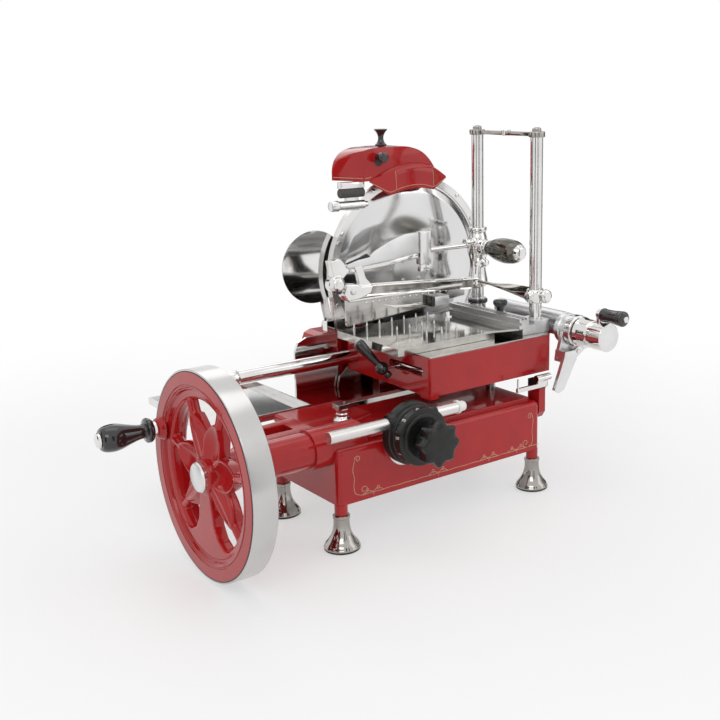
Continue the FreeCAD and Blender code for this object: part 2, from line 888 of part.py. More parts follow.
def splash_and_guard():
    left = S.pedestal_left - 2
    wide = S.column_right - 10
    splash = plate(
        "splash",
        "XZ",
        [
            (left, S.pedestal_top),
            (wide, S.pedestal_top),
            (wide, S.splash_top),
            (left + 20, S.splash_top),
            (left + 6, S.splash_top - 6),
            (left, S.splash_top - 20),
        ],
        (S.column_front - S.splash_thickness, S.column_front),
    )
    node("splash_plate", splash)
    left = S.lower_guard_left
    guard_right = S.pedestal_right - 5
    back = S.lower_guard_front + S.lower_guard_depth
    guard = plate(
        "guard",
        "XZ",
        [
            (left + 12, S.pedestal_top),
            (guard_right, S.pedestal_top),
            (guard_right, S.lower_guard_top - 9),
            (left + 40, S.lower_guard_top - 9),
            (left + 18, S.lower_guard_top - 14),
            (left + 4, S.lower_guard_top - 28),
            (left, S.lower_guard_top - 44),
            (left + 3, S.pedestal_top + 6),
        ],
        (S.lower_guard_front, back),
    )
    node("lower_guard", guard)


def slice_tray():
    right = S.tray_right
    back = S.tray_front + S.tray_depth
    top = S.tray_bottom + S.tray_height
    outside = block("tray_outside", (S.tray_left, right), (S.tray_front, back), (S.tray_bottom, top))
    inside = block(
        "tray_inside",
        (S.tray_left + S.tray_wall, right - S.tray_wall),
        (S.tray_front + S.tray_wall, back - S.tray_wall),
        (S.tray_bottom + S.tray_wall, top + 1),
    )
    dish = cut("tray_dish", outside, inside)
    bar_front = S.pedestal_back - 26
    bracket = block(
        "tray_bar",
        (0, S.pedestal_left + 30),
        (bar_front, bar_front + 20),
        (S.pedestal_top, S.tray_bottom),
    )
    notch = block(
        "tray_bar_notch",
        (S.pedestal_left - 5, S.pedestal_left + 31),
        (bar_front - 1, bar_front + 21),
        (S.pedestal_top + 4, S.tray_bottom + 1),
    )
    node("slice_tray", fuse("tray", dish, cut("tray_arm", bracket, notch)))


def deflector():
    """A shallow dish on a strap that swings about a pin on the column."""
    centre = (S.dish_x, S.dish_z)
    front = S.dish_y
    back = S.dish_y + S.dish_depth
    profile = [
        (front + S.dish_depth - S.dish_thickness, 1),
        (front + 1, S.dish_radius * 0.7),
        (front, S.dish_radius),
        (front + S.dish_thickness, S.dish_radius),
        (front + S.dish_thickness + 1, S.dish_radius * 0.7),
        (back, 1),
    ]
    dish = turned("dish", "Y", centre, profile)
    strap = plate(
        "dish_strap",
        "XZ",
        [
            (S.dish_x - 18, S.dish_z - 46),
            (S.dish_x - 2, S.dish_z - 40),
            (S.dish_pivot_x + 7, S.dish_pivot_z),
            (S.dish_pivot_x - 7, S.dish_pivot_z - 2),
        ],
        (front, front + S.dish_thickness + 1),
    )
    pivot = (S.dish_pivot_x, S.dish_pivot_z)
    eye = rod("dish_eye", "Y", pivot, (front, front + S.dish_thickness + 1), 8)
    hole = rod("dish_hole", "Y", pivot, (front - 1, front + S.dish_thickness + 2), 4 + S.running_fit)
    node("slice_deflector", cut("deflector", fuse("deflector_solid", dish, strap, eye), hole))
    reach = front + S.dish_thickness + 1
    stud = rod("pivot_stud", "Y", pivot, (front - 4, reach + 6), 4)
    foot = block(
        "pivot_block",
        (S.dish_pivot_x - 9, S.dish_pivot_x + 14),
        (front - S.rest_gap - 12, front - S.rest_gap),
        (S.column_top, S.dish_pivot_z + 8),
    )
    washer = rod("pivot_washer", "Y", pivot, (reach + S.rest_gap, reach + 4), 7)
    clearance = block(
        "leg_clearance",
        (S.dish_pivot_x + 4, S.dish_pivot_x + 20),
        (front - 20, S.ring_back + 0.3),
        (S.column_top - 1, S.dish_pivot_z + 9),
    )
    node("deflector_pivot", fuse("pivot", cut("pivot_foot", foot, clearance), stud, washer))


def sharpener_hood():
    middle = S.blade_x
    shell = plate(
        "hood_shell",
        "XZ",
        [
            (S.hood_left, S.hood_bottom),
            (S.hood_right - 17, S.hood_bottom),
            (S.hood_right - 24, S.hood_top - 32),
            (S.hood_right - 34, S.hood_top - 12),
            (S.hood_right - 54, S.hood_top - 3),
            (middle + 2, S.hood_top),
            (middle - 30, S.hood_top),
            (S.hood_left + 44, S.hood_top),
            (S.hood_left + 18, S.hood_top - 5),
            (S.hood_left + 3, S.hood_top - 18),
        ],
        (S.hood_front, S.hood_back),
    )
    skirt = plate(
        "hood_skirt",
        "XZ",
        [
            (S.hood_left + 37, S.hood_bottom + 4),
            (S.hood_left + 55, S.hood_bottom - 22),
            (S.hood_left + 87, S.hood_bottom - 13),
            (middle + 20, S.hood_bottom - 15),
            (S.hood_right - 33, S.hood_bottom - 20),
            (S.hood_right + 1, S.hood_bottom - 2),
            (S.hood_right - 18, S.hood_bottom + 11),
            (middle + 10, S.hood_bottom + 26),
            (S.hood_left + 67, S.hood_bottom + 24),
        ],
        (S.skirt_front, S.hood_front + S.hood_wall),
    )
    hollow = plate(
        "hood_hollow",
        "XZ",
        [
            (S.hood_left + S.hood_corner + S.hood_wall, S.hood_bottom - 30),
            (S.hood_right - 20, S.hood_bottom - 30),
            (S.hood_right - 27, S.hood_top - 35),
            (S.hood_right - 37, S.hood_top - 17),
            (middle + 21, S.hood_top - 14),
            (S.hood_left + 52, S.hood_top - 14),
            (S.hood_left + S.hood_corner + S.hood_wall, S.hood_top - 26),
        ],
        (S.hood_front + S.hood_wall, S.hood_back - S.hood_wall),
    )
    corner = plate(
        "hood_flank",
        "XY",
        [
            (S.hood_left - 1, S.skirt_front - 1),
            (S.hood_left + S.hood_corner, S.skirt_front - 1),
            (S.hood_left + S.hood_corner, S.hood_front + 3),
            (S.hood_left - 1, S.hood_back - 4),
        ],
        (S.hood_bottom - 40, S.hood_top + 1),
    )
    lift = (S.lift_knob_x, S.lift_knob_y)
    lift_hole = rod("lift_hole", "Z", lift, (S.hood_top - 30, S.hood_top + 2), S.knob_stem + S.running_fit)
    side = (S.front_knob_x, S.front_knob_z)
    spans = (S.hood_front - 2, S.hood_front + 28)
    side_hole = rod("side_hole", "Y", side, spans, S.knob_stem + S.running_fit)
    solid = fuse("hood_solid", shell, skirt)
    node("sharpener_hood", cut("hood", solid, hollow, corner, lift_hole, side_hole))
    base = S.hood_top + S.rest_gap
    height = S.lift_knob_height
    profile = [
        (S.hood_top - 20, S.knob_stem),
        (base, S.knob_stem),
        (base, 9),
        (base + height * 0.14, 9),
        (base + height * 0.3, 4),
        (base + height * 0.55, 4),
        (base + height * 0.82, 9.5),
        (base + height, 10),
    ]
    node("lift_knob", turned("lift", "Z", lift, profile))
    face = S.hood_front - S.rest_gap
    profile = [
        (face - S.front_knob_length, S.front_knob_radius - 1),
        (face - S.front_knob_length + 1, S.front_knob_radius),
        (face - S.front_knob_length + 10, S.front_knob_radius),
        (face - S.front_knob_length + 11, 4.5),
        (face, 4.5),
        (face, S.knob_stem),
        (S.hood_front + 16, S.knob_stem),
    ]
    node("front_knob", turned("front_button", "Y", side, profile))


def sharpener_stone():
    right = S.stone_left + S.stone_width
    front = S.stone_y - 6
    back = S.stone_y + 7
    stone = block("stone", (S.stone_left, right), (front, back), (S.stone_z + 9, S.hood_bottom))
    low = S.stone_z - 8
    holder = block(
        "stone_holder",
        (S.stone_left + 4, right - 4),
        (front + 1, back - 1),
        (low, S.stone_z + 10),
    )
    spot = (S.stone_y, S.stone_z)
    bore = rod("holder_bore", "X", spot, (S.stone_left, right), 4 + S.running_fit)
    node("stone_block", cut("stone_carrier", fuse("stone_solid", stone, holder), bore))
    left = S.stone_left
    profile = [
        (left - 16, 9),
        (left - 14, 11),
        (left - 3, 11),
        (left + 1, 7),
        (left + 3.5, 7),
        (left + 3.5, 4),
        (right - 3.5, 4),
        (right - 3.5, 6.5),
        (right + 6, 6.5),
    ]
    node("stone_spindle", turned("stone_axle", "X", spot, profile))


def dial():
    centre = (S.dial_x, S.dial_z)
    mount = S.base_front - 3
    flange = turned(
        "dial_rim",
        "Y",
        (S.dial_x - S.flange_shift, S.dial_z - S.flange_shift),
        [(mount - 3, S.dial_flange - 1.5), (mount, S.dial_flange), (S.base_front, S.dial_flange)],
    )
    trip = (S.trip_y, S.trip_z)
    spans = (S.dial_x - 60, S.dial_x + 60)
    rod_bore = rod("trip_bore", "X", trip, spans, S.trip_radius + S.running_fit)
    flange_top = S.dial_z + S.flange_rise
    rim_top = block(
        "rim_top",
        spans,
        (mount - 4, S.base_front + 1),
        (flange_top, flange_top + S.dial_flange),
    )
    node("dial_flange", cut("dial_plate", flange, rim_top, rod_bore))
    body_front = mount - 3 - S.dial_body_depth
    body = rod("dial_drum", "Y", centre, (body_front, mount - 3), S.dial_radius)
    stem_hole = rod("stem_hole", "Y", centre, (body_front - 1, mount - 12), 5 + S.running_fit)
    node("dial_housing", cut("dial_body", body, rod_bore, stem_hole))
    ring_back_face = body_front - S.dial_gap
    ring_front_face = ring_back_face - S.dial_ring_depth
    profile = [
        (ring_front_face, S.dial_ring_radius - 5),
        (ring_front_face + 4, S.dial_ring_radius - 1),
        (ring_back_face - 3, S.dial_ring_radius),
        (ring_back_face, S.dial_ring_radius),
    ]
    ring = turned("number_ring", "Y", centre, profile)
    knob_front = ring_front_face - S.dial_knob_depth
    core = cone(
        "knob_core",
        "Y",
        centre,
        (knob_front, ring_front_face),
        (S.dial_knob_radius * 0.74, S.dial_knob_radius * 0.86),
    )
    lobes = []
    for index in range(7):
        angle = math.radians(360 / 7 * index + 12)
        spot = (
            S.dial_x + S.dial_knob_radius * (0.74 * math.cos(angle)),
            S.dial_z + S.dial_knob_radius * (0.74 * math.sin(angle)),
        )
        spans = (knob_front + 3, ring_front_face)
        lobes.append(rod("knob_lobe", "Y", spot, spans, S.dial_knob_radius * 0.26))
    stem = rod("dial_stem", "Y", centre, (ring_back_face - 1, mount - 13), 5)
    node("dial_ring", fuse("ring_and_stem", ring, stem))
    node("dial_knob", fuse("dial_star", core, *lobes))


def trip_rod():
    spot = (S.trip_y, S.trip_z)
    node("trip_rod", rod("trip", "X", spot, (S.trip_left, S.trip_right), S.trip_radius))
    right = S.trip_right
    profile = [
        (right, S.trip_radius - 1),
        (right + 3, S.trip_radius),
        (right + S.trip_tip - 3, S.trip_radius),
        (right + S.trip_tip, S.trip_radius - 2),
    ]
    node("trip_tip", turned("nylon_tip", "X", spot, profile))


def guide_tube():
    spot = (S.tube_y, S.tube_z)
    tube = rod("tube", "X", spot, (S.tube_left, S.tube_right), S.tube_radius)
    end = rod("tube_stud", "X", spot, (S.tube_left - S.tube_end, S.tube_left), S.tube_radius * 0.6)
    node("guide_tube", fuse("guide", tube, end))
    left = S.bracket_x
    right = S.bracket_x + S.bracket_width
    boss = rod("bracket_boss", "X", spot, (left, right), S.tube_radius + 5)
    stand = block(
        "bracket_stand",
        (left, right),
        (S.tube_y - 9, S.tube_y + 9),
        (S.pedestal_top, S.tube_z),
    )
    hole = rod("bracket_hole", "X", spot, (left - 1, right + 1), S.tube_radius)
    node("tube_bracket", cut("bracket", fuse("bracket_solid", boss, stand), hole))


def rail():
    foot = S.base_top + S.hump_height
    rail_bottom = S.rail_top - S.rail_thickness
    spot = (S.pillar_x, S.pillar_y)
    height = rail_bottom - foot
    profile = [
        (foot, S.pillar_foot),
        (foot + height * 0.15, S.pillar_foot),
        (foot + height * 0.4, S.pillar_neck),
        (foot + height * 0.6, S.pillar_neck),
        (foot + height * 0.72, S.pillar_head),
        (rail_bottom, S.pillar_head),
    ]
    node("rail_pillar", turned("pillar", "Z", spot, profile))
    platform = S.base_top + S.ridge_height
    spot = (S.rail_right - 20, S.pillar_y)
    pillar = rod("pillar_right", "Z", spot, (platform, rail_bottom), 7)
    half = S.rail_width / 2
    strip = block(
        "rail_strip",
        (S.pillar_x - 10, S.rail_right),
        (S.pillar_y - half, S.pillar_y + half),
        (rail_bottom, S.rail_top),
    )
    end_block = block(
        "rail_end",
        (S.pillar_x - 10, S.pillar_x + S.rail_block - 2),
        (S.pillar_y - S.rail_block, S.pillar_y + S.rail_block),
        (rail_bottom, S.rail_top),
    )
    node("front_rail", fuse("rail", strip, pillar, end_block))


def end_stop():
    """The lug on the base's right end, with the stop that sets the feed lever back."""
    right = S.base_right + 12
    lug = plate(
        "lug",
        "YZ",
        [
            (-6, S.lug_block_top - 36),
            (0, S.lug_block_top - 45),
            (12, S.lug_block_top - 45),
            (18, S.lug_block_top - 36),
            (18, S.lug_block_top),
            (-6, S.lug_block_top),
        ],
        (S.base_right, right),
    )
    node("end_lug", lug)
    top = S.lug_block_top + S.stop_block_height
    node("stop_block", block("stop", (S.base_right - 2, right), (-8, 16), (S.lug_block_top, top)))
    bar = block("stop_bar_strip", (right - 59, right), (-12, -8), (S.lug_block_top + 3, S.lug_block_top + 9))
    pin = rod("stop_pin", "Z", (right - 57, -10), (S.lug_block_top + 4, S.lug_block_top + 22), 1.4)
    spot = (-10, S.stop_z)
    sleeve = rod("stop_sleeve", "X", spot, (S.stop_x - 44, S.stop_x - 18), S.stop_radius)
    web = block(
        "stop_web",
        (S.stop_x - 42, S.stop_x - 22),
        (-12, -8),
        (S.lug_block_top + 8, S.stop_z),
    )
    node("stop_bar", fuse("stop_chrome", bar, pin, sleeve, web))


def carriage():
    left = S.carriage_left
    right = S.carriage_right
    front = S.carriage_front
    back = S.carriage_back
    wall = S.carriage_wall
    corner = S.corner_cut
    outer = plate(
        "carriage_box",
        "XY",
        [(left, front), (right - corner, front), (right, front + corner), (right, back), (left, back)],
        (S.carriage_bottom, S.carriage_top),
    )
    round_edges(outer, 4, upright)
    hollow = plate(
        "carriage_hollow",
        "XY",
        [
            (left + wall, front + wall),
            (right - corner - wall / 2, front + wall),
            (right - wall, front + corner + wall / 2),
            (right - wall, back - wall),
            (left + wall, back - wall),
        ],
        (S.carriage_bottom - S.carriage_lip - 2, S.carriage_top - wall),
    )
    lip = block(
        "front_lip",
        (left, left + 14),
        (front, front + 22),
        (S.carriage_bottom - S.carriage_lip, S.carriage_bottom + 1),
    )
    half = S.slot_height / 2
    slot_ends = []
    for y in (S.slot_front + half, S.slot_back - half):
        slot_ends.append(rod("slot_end", "X", (y, S.slot_z), (left - 1, left + wall + 1), half))
    slot = block(
        "slot_middle",
        (left - 1, left + wall + 1),
        (S.slot_front + half, S.slot_back - half),
        (S.slot_z - half, S.slot_z + half),
    )
    tube = (S.tube_y, S.tube_z)
    fit = S.tube_radius + S.running_fit
    guide_bore = rod("guide_bore", "X", tube, (left - 1, right + 1), fit)
    boss_left = rod("guide_boss", "X", tube, (left + 1, left + 20), S.tube_radius + 7)
    boss_right = rod("guide_boss", "X", tube, (right - 24, right - 1), S.tube_radius + 7)
    shoe = block(
        "rail_shoe",
        ((left + right) / 2 - 30, (left + right) / 2 + 10),
        (S.pillar_y - 6, S.pillar_y + 6),
        (S.rail_top + S.rest_gap, S.carriage_top - wall + 1),
    )
    pivot = (S.lever_y, S.lever_z)
    stud_hole = rod("stud_hole", "X", pivot, (left - 1, left + wall + 1), S.lever_stud + S.running_fit)
    whole_shell = fuse("carriage_outer", outer, lip)
    shell = cut("carriage_shell", whole_shell, hollow, slot, stud_hole, *slot_ends)
    trim = block("boss_trim", (left, right), (back, back + 20), (S.carriage_bottom - 1, S.carriage_top))
    under = block(
        "boss_under",
        (left, right),
        (S.tube_y - 30, back),
        (S.carriage_bottom - 12, S.carriage_bottom),
    )
    whole = fuse("carriage_whole", shell, boss_left, boss_right, shoe)
    node("carriage", cut("carriage_body", whole, guide_bore, trim, under))
    top = S.carriage_top + S.carriage_plate
    sheet = plate(
        "top_sheet",
        "XY",
        [
            (left + 2, front + 2),
            (right - corner - 2, front + 2),
            (S.feed_x - S.feed_housing_radius - 2, front + corner - 8),
            (S.feed_x - S.feed_housing_radius - 2, back - 2),
            (left + 2, back - 2),
        ],
        (S.carriage_top, top),
    )
    node("carriage_top", sheet)
    rod_ends = (front + wall, S.tube_y - S.tube_radius - 7)
    slot_rod = rod("slot_bar", "Y", (left + wall + 5, S.slot_z - 2), rod_ends, 3)
    node("slot_rod", slot_rod)


def release_lever():
    pivot = (S.lever_y, S.lever_z)
    wall_face = S.carriage_left
    x = S.lever_x
    stud = rod("lever_stud", "X", pivot, (x - 7, wall_face + 7), S.lever_stud)
    washer = rod("lever_washer", "X", pivot, (wall_face - 3, wall_face - S.rest_gap), S.lever_washer)
    eye = rod("lever_eye", "X", pivot, (x - 8, x + 8), S.lever_eye)
    node("lever_hub", fuse("lever_boss", stud, washer, eye))
    outward = sine(S.lever_lean)
    backward = cosine(S.lever_lean) * cosine(S.lever_tilt)
    upward = cosine(S.lever_lean) * sine(S.lever_tilt)
    reach = S.lever_eye - 1
    grip = DOC.addObject("Part::Cone", "lever_cone")
    bind(grip, "Radius1", 5)
    bind(grip, "Radius2", S.lever_tip)
    bind(grip, "Height", S.lever_length - reach)
    along = Vector(-outward.number, backward.number, upward.number)
    turn = Rotation(Vector(0, 0, 1), along)
    settle(grip, x - reach * outward, S.lever_y + reach * backward, S.lever_z + reach * upward, turn)
    clear_eye = rod("lever_eye_gap", "X", pivot, (x - 9, x + 9), S.lever_eye)
    node("lever_grip", cut("lever_handle", grip, clear_eye))


def meat_table():
    left = S.table_left
    right = S.table_right
    front = S.table_front
    back = S.table_back
    under = S.table_top - S.table_plate
    outline = [
        (left, front),
        (right - 40, front),
        (right - 6, front - 12),
        (right, front - 12),
        (right, back),
        (left, back),
    ]
    top = plate("table_sheet", "XY", outline, (under, S.table_top))
    skirt_bottom = S.table_top - S.table_flange + S.rest_gap
    left_skirt = block("left_skirt", (left, left + 2.5), (front, back), (skirt_bottom, S.table_top))
    front_skirt = block("front_skirt", (left, right - 40), (front, front + 2.5), (skirt_bottom, S.table_top))
    node("meat_table", fuse("table", top, left_skirt, front_skirt))
    spikes = []
    for y, first, last, count in ((155, 9, 140, 7), (104, 47, 134.5, 5), (58, 64, 117, 3)):
        for index in range(count):
            x = S.table_left + first + (last - first) * index / (count - 1)
            low = (S.table_top, S.table_top + S.spike_height - 5)
            tip = (S.table_top + S.spike_height - 5, S.table_top + S.spike_height)
            shank = rod("spike_shank", "Z", (x, y), low, S.spike_radius)
            point = cone("spike_point", "Z", (x, y), tip, (S.spike_radius, 0.4))
            spikes.append(fuse("spike", shank, point))
    node("table_spikes", group("spikes", spikes))


def table_slide():
    """The grooved slide beside the plate, with the slab that carries the two posts."""
    left = S.table_right - 8
    wide = S.slide_width
    low = S.carriage_top + S.carriage_plate + S.rest_gap
    slab = block(
        "slab",
        (S.table_right, S.slab_right),
        (S.slide_front + 2, S.slide_back + 1),
        (low, S.slab_top),
    )
    ridge = block(
        "slide_ridge",
        (left, left + wide),
        (S.slide_front, S.slide_back),
        (S.table_top, S.slide_top),
    )
    grooves = []
    for x in (left + 4, left + wide - 8):
        spans = (S.slide_top - 3, S.slide_top + 1)
        grooves.append(block("slide_groove", (x, x + 4), (S.slide_front - 1, S.slide_back + 1), spans))
    side = block(
        "side_groove",
        (left - 1, left + 4),
        (S.slide_front - 1, S.slide_back + 1),
        (S.slide_top - 10, S.slide_top - 6),
    )
    sleeve = rod("post_sleeve", "Z", (S.post_x, S.post_rear), (low, S.slab_top + 17), S.post_radius + 3)
    half = S.post_block / 2
    foot = block(
        "post_foot",
        (S.post_x - half, S.slab_right),
        (S.post_front - half, S.post_front + half),
        (low, S.post_block_top),
    )
    holes = []
    for y in (S.post_front, S.post_rear):
        holes.append(rod("post_hole", "Z", (S.post_x, y), (low - 1, S.post_block_top + 30), S.post_radius))
    seat = rod("knob_seat", "Z", (S.table_knob_x, S.table_knob_y), (S.slab_top - 1, S.slab_top + 8), 7)
    solid = fuse("slide_solid", slab, ridge, sleeve, foot, seat)
    node("table_slide", cut("slide", solid, *grooves, side, *holes))
    knurled = (S.slab_top + 17, S.slab_top + 24)
    knurl = cut(
        "knurl",
        rod("knurl_outside", "Z", (S.post_x, S.post_rear), knurled, S.post_radius + 6),
        rod("knurl_inside", "Z", (S.post_x, S.post_rear), (S.slab_top + 16, S.slab_top + 25), S.post_radius),
    )
    spot = (S.table_knob_x, S.table_knob_y)
    base = S.slab_top + 8
    radius = S.table_knob_radius
    profile = [
        (base + S.rest_gap, radius * 0.45),
        (base + 6, radius * 0.5),
        (base + 11, radius * 0.95),
        (base + 15, radius),
        (base + 19, radius * 0.9),
    ]
    node("table_knobs", group("black_knobs", [turned("mushroom", "Z", spot, profile), knurl]))


def posts():
    low = S.carriage_top + S.carriage_plate + S.rest_gap
    nuts = []
    poles = []
    for y in (S.post_front, S.post_rear):
        spot = (S.post_x, y)
        poles.append(rod("pole", "Z", spot, (low, S.post_top - S.bar_height), S.post_radius))
        nuts.append(rod("post_nut", "Z", spot, (S.post_top - 1, S.post_top + 6), 6.5))
    spans = (S.post_top - S.bar_height, S.post_top)
    ends = [rod("bar_end", "Z", (S.post_x, y), spans, 12) for y in (S.post_front, S.post_rear)]
    half = 5
    middle = block("bar_middle", (S.post_x - half, S.post_x + half), (S.post_front, S.post_rear), spans)
    node("posts", group("poles", poles))
    node("post_bar", fuse("bar", middle, *ends, *nuts))


def clamp():
    fit = S.post_radius + S.running_fit
    rear = (S.post_x, S.post_rear)
    front = (S.post_x, S.post_front)
    rear_collar = rod("rear_sleeve", "Z", rear, (S.collar_bottom, S.collar_top), S.collar_radius)
    spans = (S.front_collar_bottom, S.front_collar_top)
    front_collar = rod("front_sleeve", "Z", front, spans, S.front_collar_radius)
    bridge_z = (S.collar_bottom + S.front_collar_top) / 2 - 2
    bridge = rod("bridge", "Y", (S.post_x, bridge_z), (S.post_front, S.post_rear), S.bridge_radius)
    bridge_web = block(
        "bridge_web",
        (S.post_x - 4, S.post_x + 4),
        (S.post_rear - 30, S.post_rear),
        (bridge_z, S.collar_bottom + 20),
    )
    spans = (S.post_rear - S.collar_radius - 3, S.post_rear)
    lock_boss = rod("lock_boss", "Y", (S.post_x, S.lock_z), spans, 11)
    side_z = S.front_collar_top - 12
    spans = (S.post_front - S.front_collar_radius - 3, S.post_front)
    side_boss = rod("side_boss", "Y", (S.post_x, side_z), spans, 7)
    bores = []
    for spot in (rear, front):
        bores.append(rod("clamp_bore", "Z", spot, (S.front_collar_bottom - 1, S.collar_top + 1), fit))
    spans = (S.post_rear - 40, S.post_rear - 8)
    lock_bore = rod("lock_bore", "Y", (S.post_x, S.lock_z), spans, 4 + S.running_fit)
    spans = (S.post_front - 30, S.post_front - 8)
    side_bore = rod("side_bore", "Y", (S.post_x, side_z), spans, 3 + S.running_fit)
    solid = fuse("clamp_solid", rear_collar, front_collar, bridge, bridge_web, lock_boss, side_boss)
    collars = cut("clamp_collars", solid, *bores, lock_bore, side_bore)
    node("clamp_frame", fuse("clamp_whole", collars, clamp_arm()))
    press_plate()


def clamp_arm():
    """The polished arms that reach from the rear collar to the pivot lug, over the table."""
    half = S.clamp_thickness / 2
    spans = (S.clamp_y - half, S.clamp_y + half)
    left = S.lug_left
    right = S.lug_right
    collar_face = S.post_x - S.collar_radius
    arm_end = S.post_x - 100
    lug = plate(
        "pivot_lug",
        "XZ",
        [
            (left + 10, S.lug_bottom),
            (right - 6, S.lug_bottom),
            (right, S.lug_bottom + 18),
            (right, S.lug_top - 12),
            (right - 12, S.lug_top),
            (left + 6, S.lug_top - 10),
            (left, S.lug_top - 32),
        ],
        (spans[0] - 8, spans[1] + 8),
    )
    upper = plate(
        "upper_arm",
        "XZ",
        [
            (right - 8, S.lug_bottom + 44),
            (arm_end - 24, S.lug_bottom + 55),
            (arm_end - 24, S.lug_bottom + 37),
            (arm_end, S.lug_bottom + 37),
            (arm_end, S.lug_top + 20),
            (arm_end - 24, S.lug_top + 20),
            (arm_end - 48, S.lug_top + 15),
            (right + 24, S.lug_top - 9),
            (right - 8, S.lug_top - 14),
        ],
        (spans[0] - 3, spans[1] + 3),
    )
    tie = rod("tie_rod", "X", (S.clamp_y, S.lock_z + 4), (arm_end - 2, collar_face + 3), 4)
    lower = plate(
        "lower_arm",
        "XZ",
        [
            (right - 16, S.lug_bottom),
            (collar_face + 5, S.lug_bottom),
            (collar_face + 5, S.lug_bottom + 16),
            (right - 16, S.lug_bottom + 20),
        ],
        spans,
    )
    bore = rod("arm_bore", "Z", (S.post_x, S.post_rear), (S.lug_bottom - 1, S.lug_top + 30), S.collar_radius)
    return cut("arm", fuse("arm_solid", lug, upper, tie, lower), bore)


def press_plate():
    """The toothed plate under the arm, which holds the meat down."""
    half_press = S.press_thickness / 2
    count = round(S.teeth.number)
    start = S.table_left + 3
    end = S.table_right + 8
    step = (end - start) / count
    points = [(end, S.press_bottom + 30), (end, S.press_bottom + S.press_rise + S.tooth_depth)]
    for index in range(count):
        place = end - step * index
        tip = S.press_bottom + S.press_rise * (1 - index / count)
        points.append((place - step * 0.35, tip))
        points.append((place - step * 0.7, tip + S.tooth_depth))
    points += [
        (start - 1, S.press_bottom + S.tooth_depth),
        (start - 1, S.lug_bottom),
        (end - 60, S.lug_bottom),
    ]
    press = plate("press", "XZ", points, (S.clamp_y - half_press, S.clamp_y + half_press))
    node("press_plate", press)


def clamp_knobs():
    spot = (S.post_x, S.lock_z)
    start = S.post_rear - S.collar_radius - 3 - S.rest_gap
    end = start - S.lock_length
    radius = S.lock_radius
    profile = [
        (end - 4, radius * 0.35),
        (end, radius * 0.5),
        (end + S.lock_length * 0.12, radius * 0.82),
        (end + S.lock_length * 0.42, radius),
        (end + S.lock_length * 0.72, radius * 0.84),
        (end + S.lock_length * 0.9, radius * 0.5),
        (start, radius * 0.42),
        (start, 4),
        (S.post_rear - 11, 4),
    ]
    node("lock_handle", turned("lock", "Y", spot, profile))
    spot = (S.post_x, S.front_collar_top - 12)
    start = S.post_front - S.front_collar_radius - 3 - S.rest_gap
    profile = [
        (start - 9, 8),
        (start - 7, 10),
        (start - 2, 10),
        (start, 8),
        (start, 3),
        (S.post_front - 10, 3),
    ]
    node("side_knob", turned("side_button", "Y", spot, profile))


def feed():
    spot = (S.feed_x, S.feed_z)
    upper = (S.feed_x, S.feed_z + S.feed_rise)
    spans = (S.feed_front + 6, S.feed_back)
    body = rod("feed_tube", "Y", spot, spans, S.feed_housing_radius)
    crown = rod("feed_crown", "Y", upper, spans, S.feed_housing_radius)
    end = rod("feed_flange", "Y", spot, (S.feed_front, S.feed_front + 9), S.feed_ring_radius - 1)
    over = S.feed_housing_radius + 1
    corner = block(
        "feed_corner",
        (S.feed_x - over, S.carriage_right),
        (S.feed_front + 10, S.feed_back + 1),
        (S.feed_z - over, S.carriage_top),
    )
    bore = rod("feed_bore", "Y", spot, (S.feed_front - 12, S.feed_back + 1), S.feed_screw + S.running_fit)
    ratchet_back = S.feed_front - S.rest_gap
    ratchet_front = ratchet_back - S.ratchet_thickness - 4
    sleeve = rod("feed_nose", "Y", spot, (ratchet_front, S.feed_front + 9), S.feed_sleeve)
    node("feed_housing", cut("feed_case", fuse("feed_solid", body, crown, end, sleeve), corner, bore))
    screw = rod("screw", "Y", spot, (S.feed_drum_front + 1, S.feed_back - 2), S.feed_screw)
    ring_back_face = ratchet_front - S.feed_ring_gap
    profile = [
        (S.feed_drum_front, S.feed_drum_radius - 2),
        (S.feed_drum_front + 2, S.feed_drum_radius),
        (S.feed_ring_front, S.feed_drum_radius),
        (S.feed_ring_front, S.feed_ring_radius),
        (ring_back_face, S.feed_ring_radius),
    ]
    drum = turned("drum", "Y", spot, profile)
    node("feed_drum", fuse("feed_dial", drum, screw))
    front = S.feed_arm_front
    crank_top = S.feed_z + S.feed_crank_height
    arm = block("feed_arm", (S.feed_x - 6, S.feed_x + 6), (front, front + 7), (S.feed_z + 10, crank_top))
    boss = rod("feed_arm_boss", "Y", (S.feed_x, crank_top), (front, front + 7), 7.5)
    grip_front = front - S.rest_gap - S.feed_grip_length
    pin = rod("feed_pin", "Y", (S.feed_x, crank_top), (grip_front - 2, front + 2), 3)
    button = rod("feed_button", "Y", (S.feed_x, crank_top), (grip_front - 3.5, grip_front - S.rest_gap), 6)
    drum_gap = rod("drum_gap", "Y", spot, (front - 1, front + 8), S.feed_drum_radius)
    arm_free = cut("feed_arm_foot", fuse("feed_arm_solid", arm, boss), drum_gap)
    node("feed_crank", fuse("feed_handle", arm_free, pin, button))
    run = S.feed_grip_length
    radius = S.feed_grip_radius
    profile = [
        (grip_front, radius * 0.8),
        (grip_front + run * 0.15, radius),
        (grip_front + run * 0.6, radius * 0.72),
        (grip_front + run, radius * 0.9),
    ]
    grip = turned("feed_grip_body", "Y", (S.feed_x, crank_top), profile)
    spans = (grip_front - 1, grip_front + run + 1)
    grip_bore = rod("feed_grip_bore", "Y", (S.feed_x, crank_top), spans, 3 + S.running_fit)
    node("feed_grip", cut("feed_knob", grip, grip_bore))
    ratchet(ratchet_front, ratchet_back)


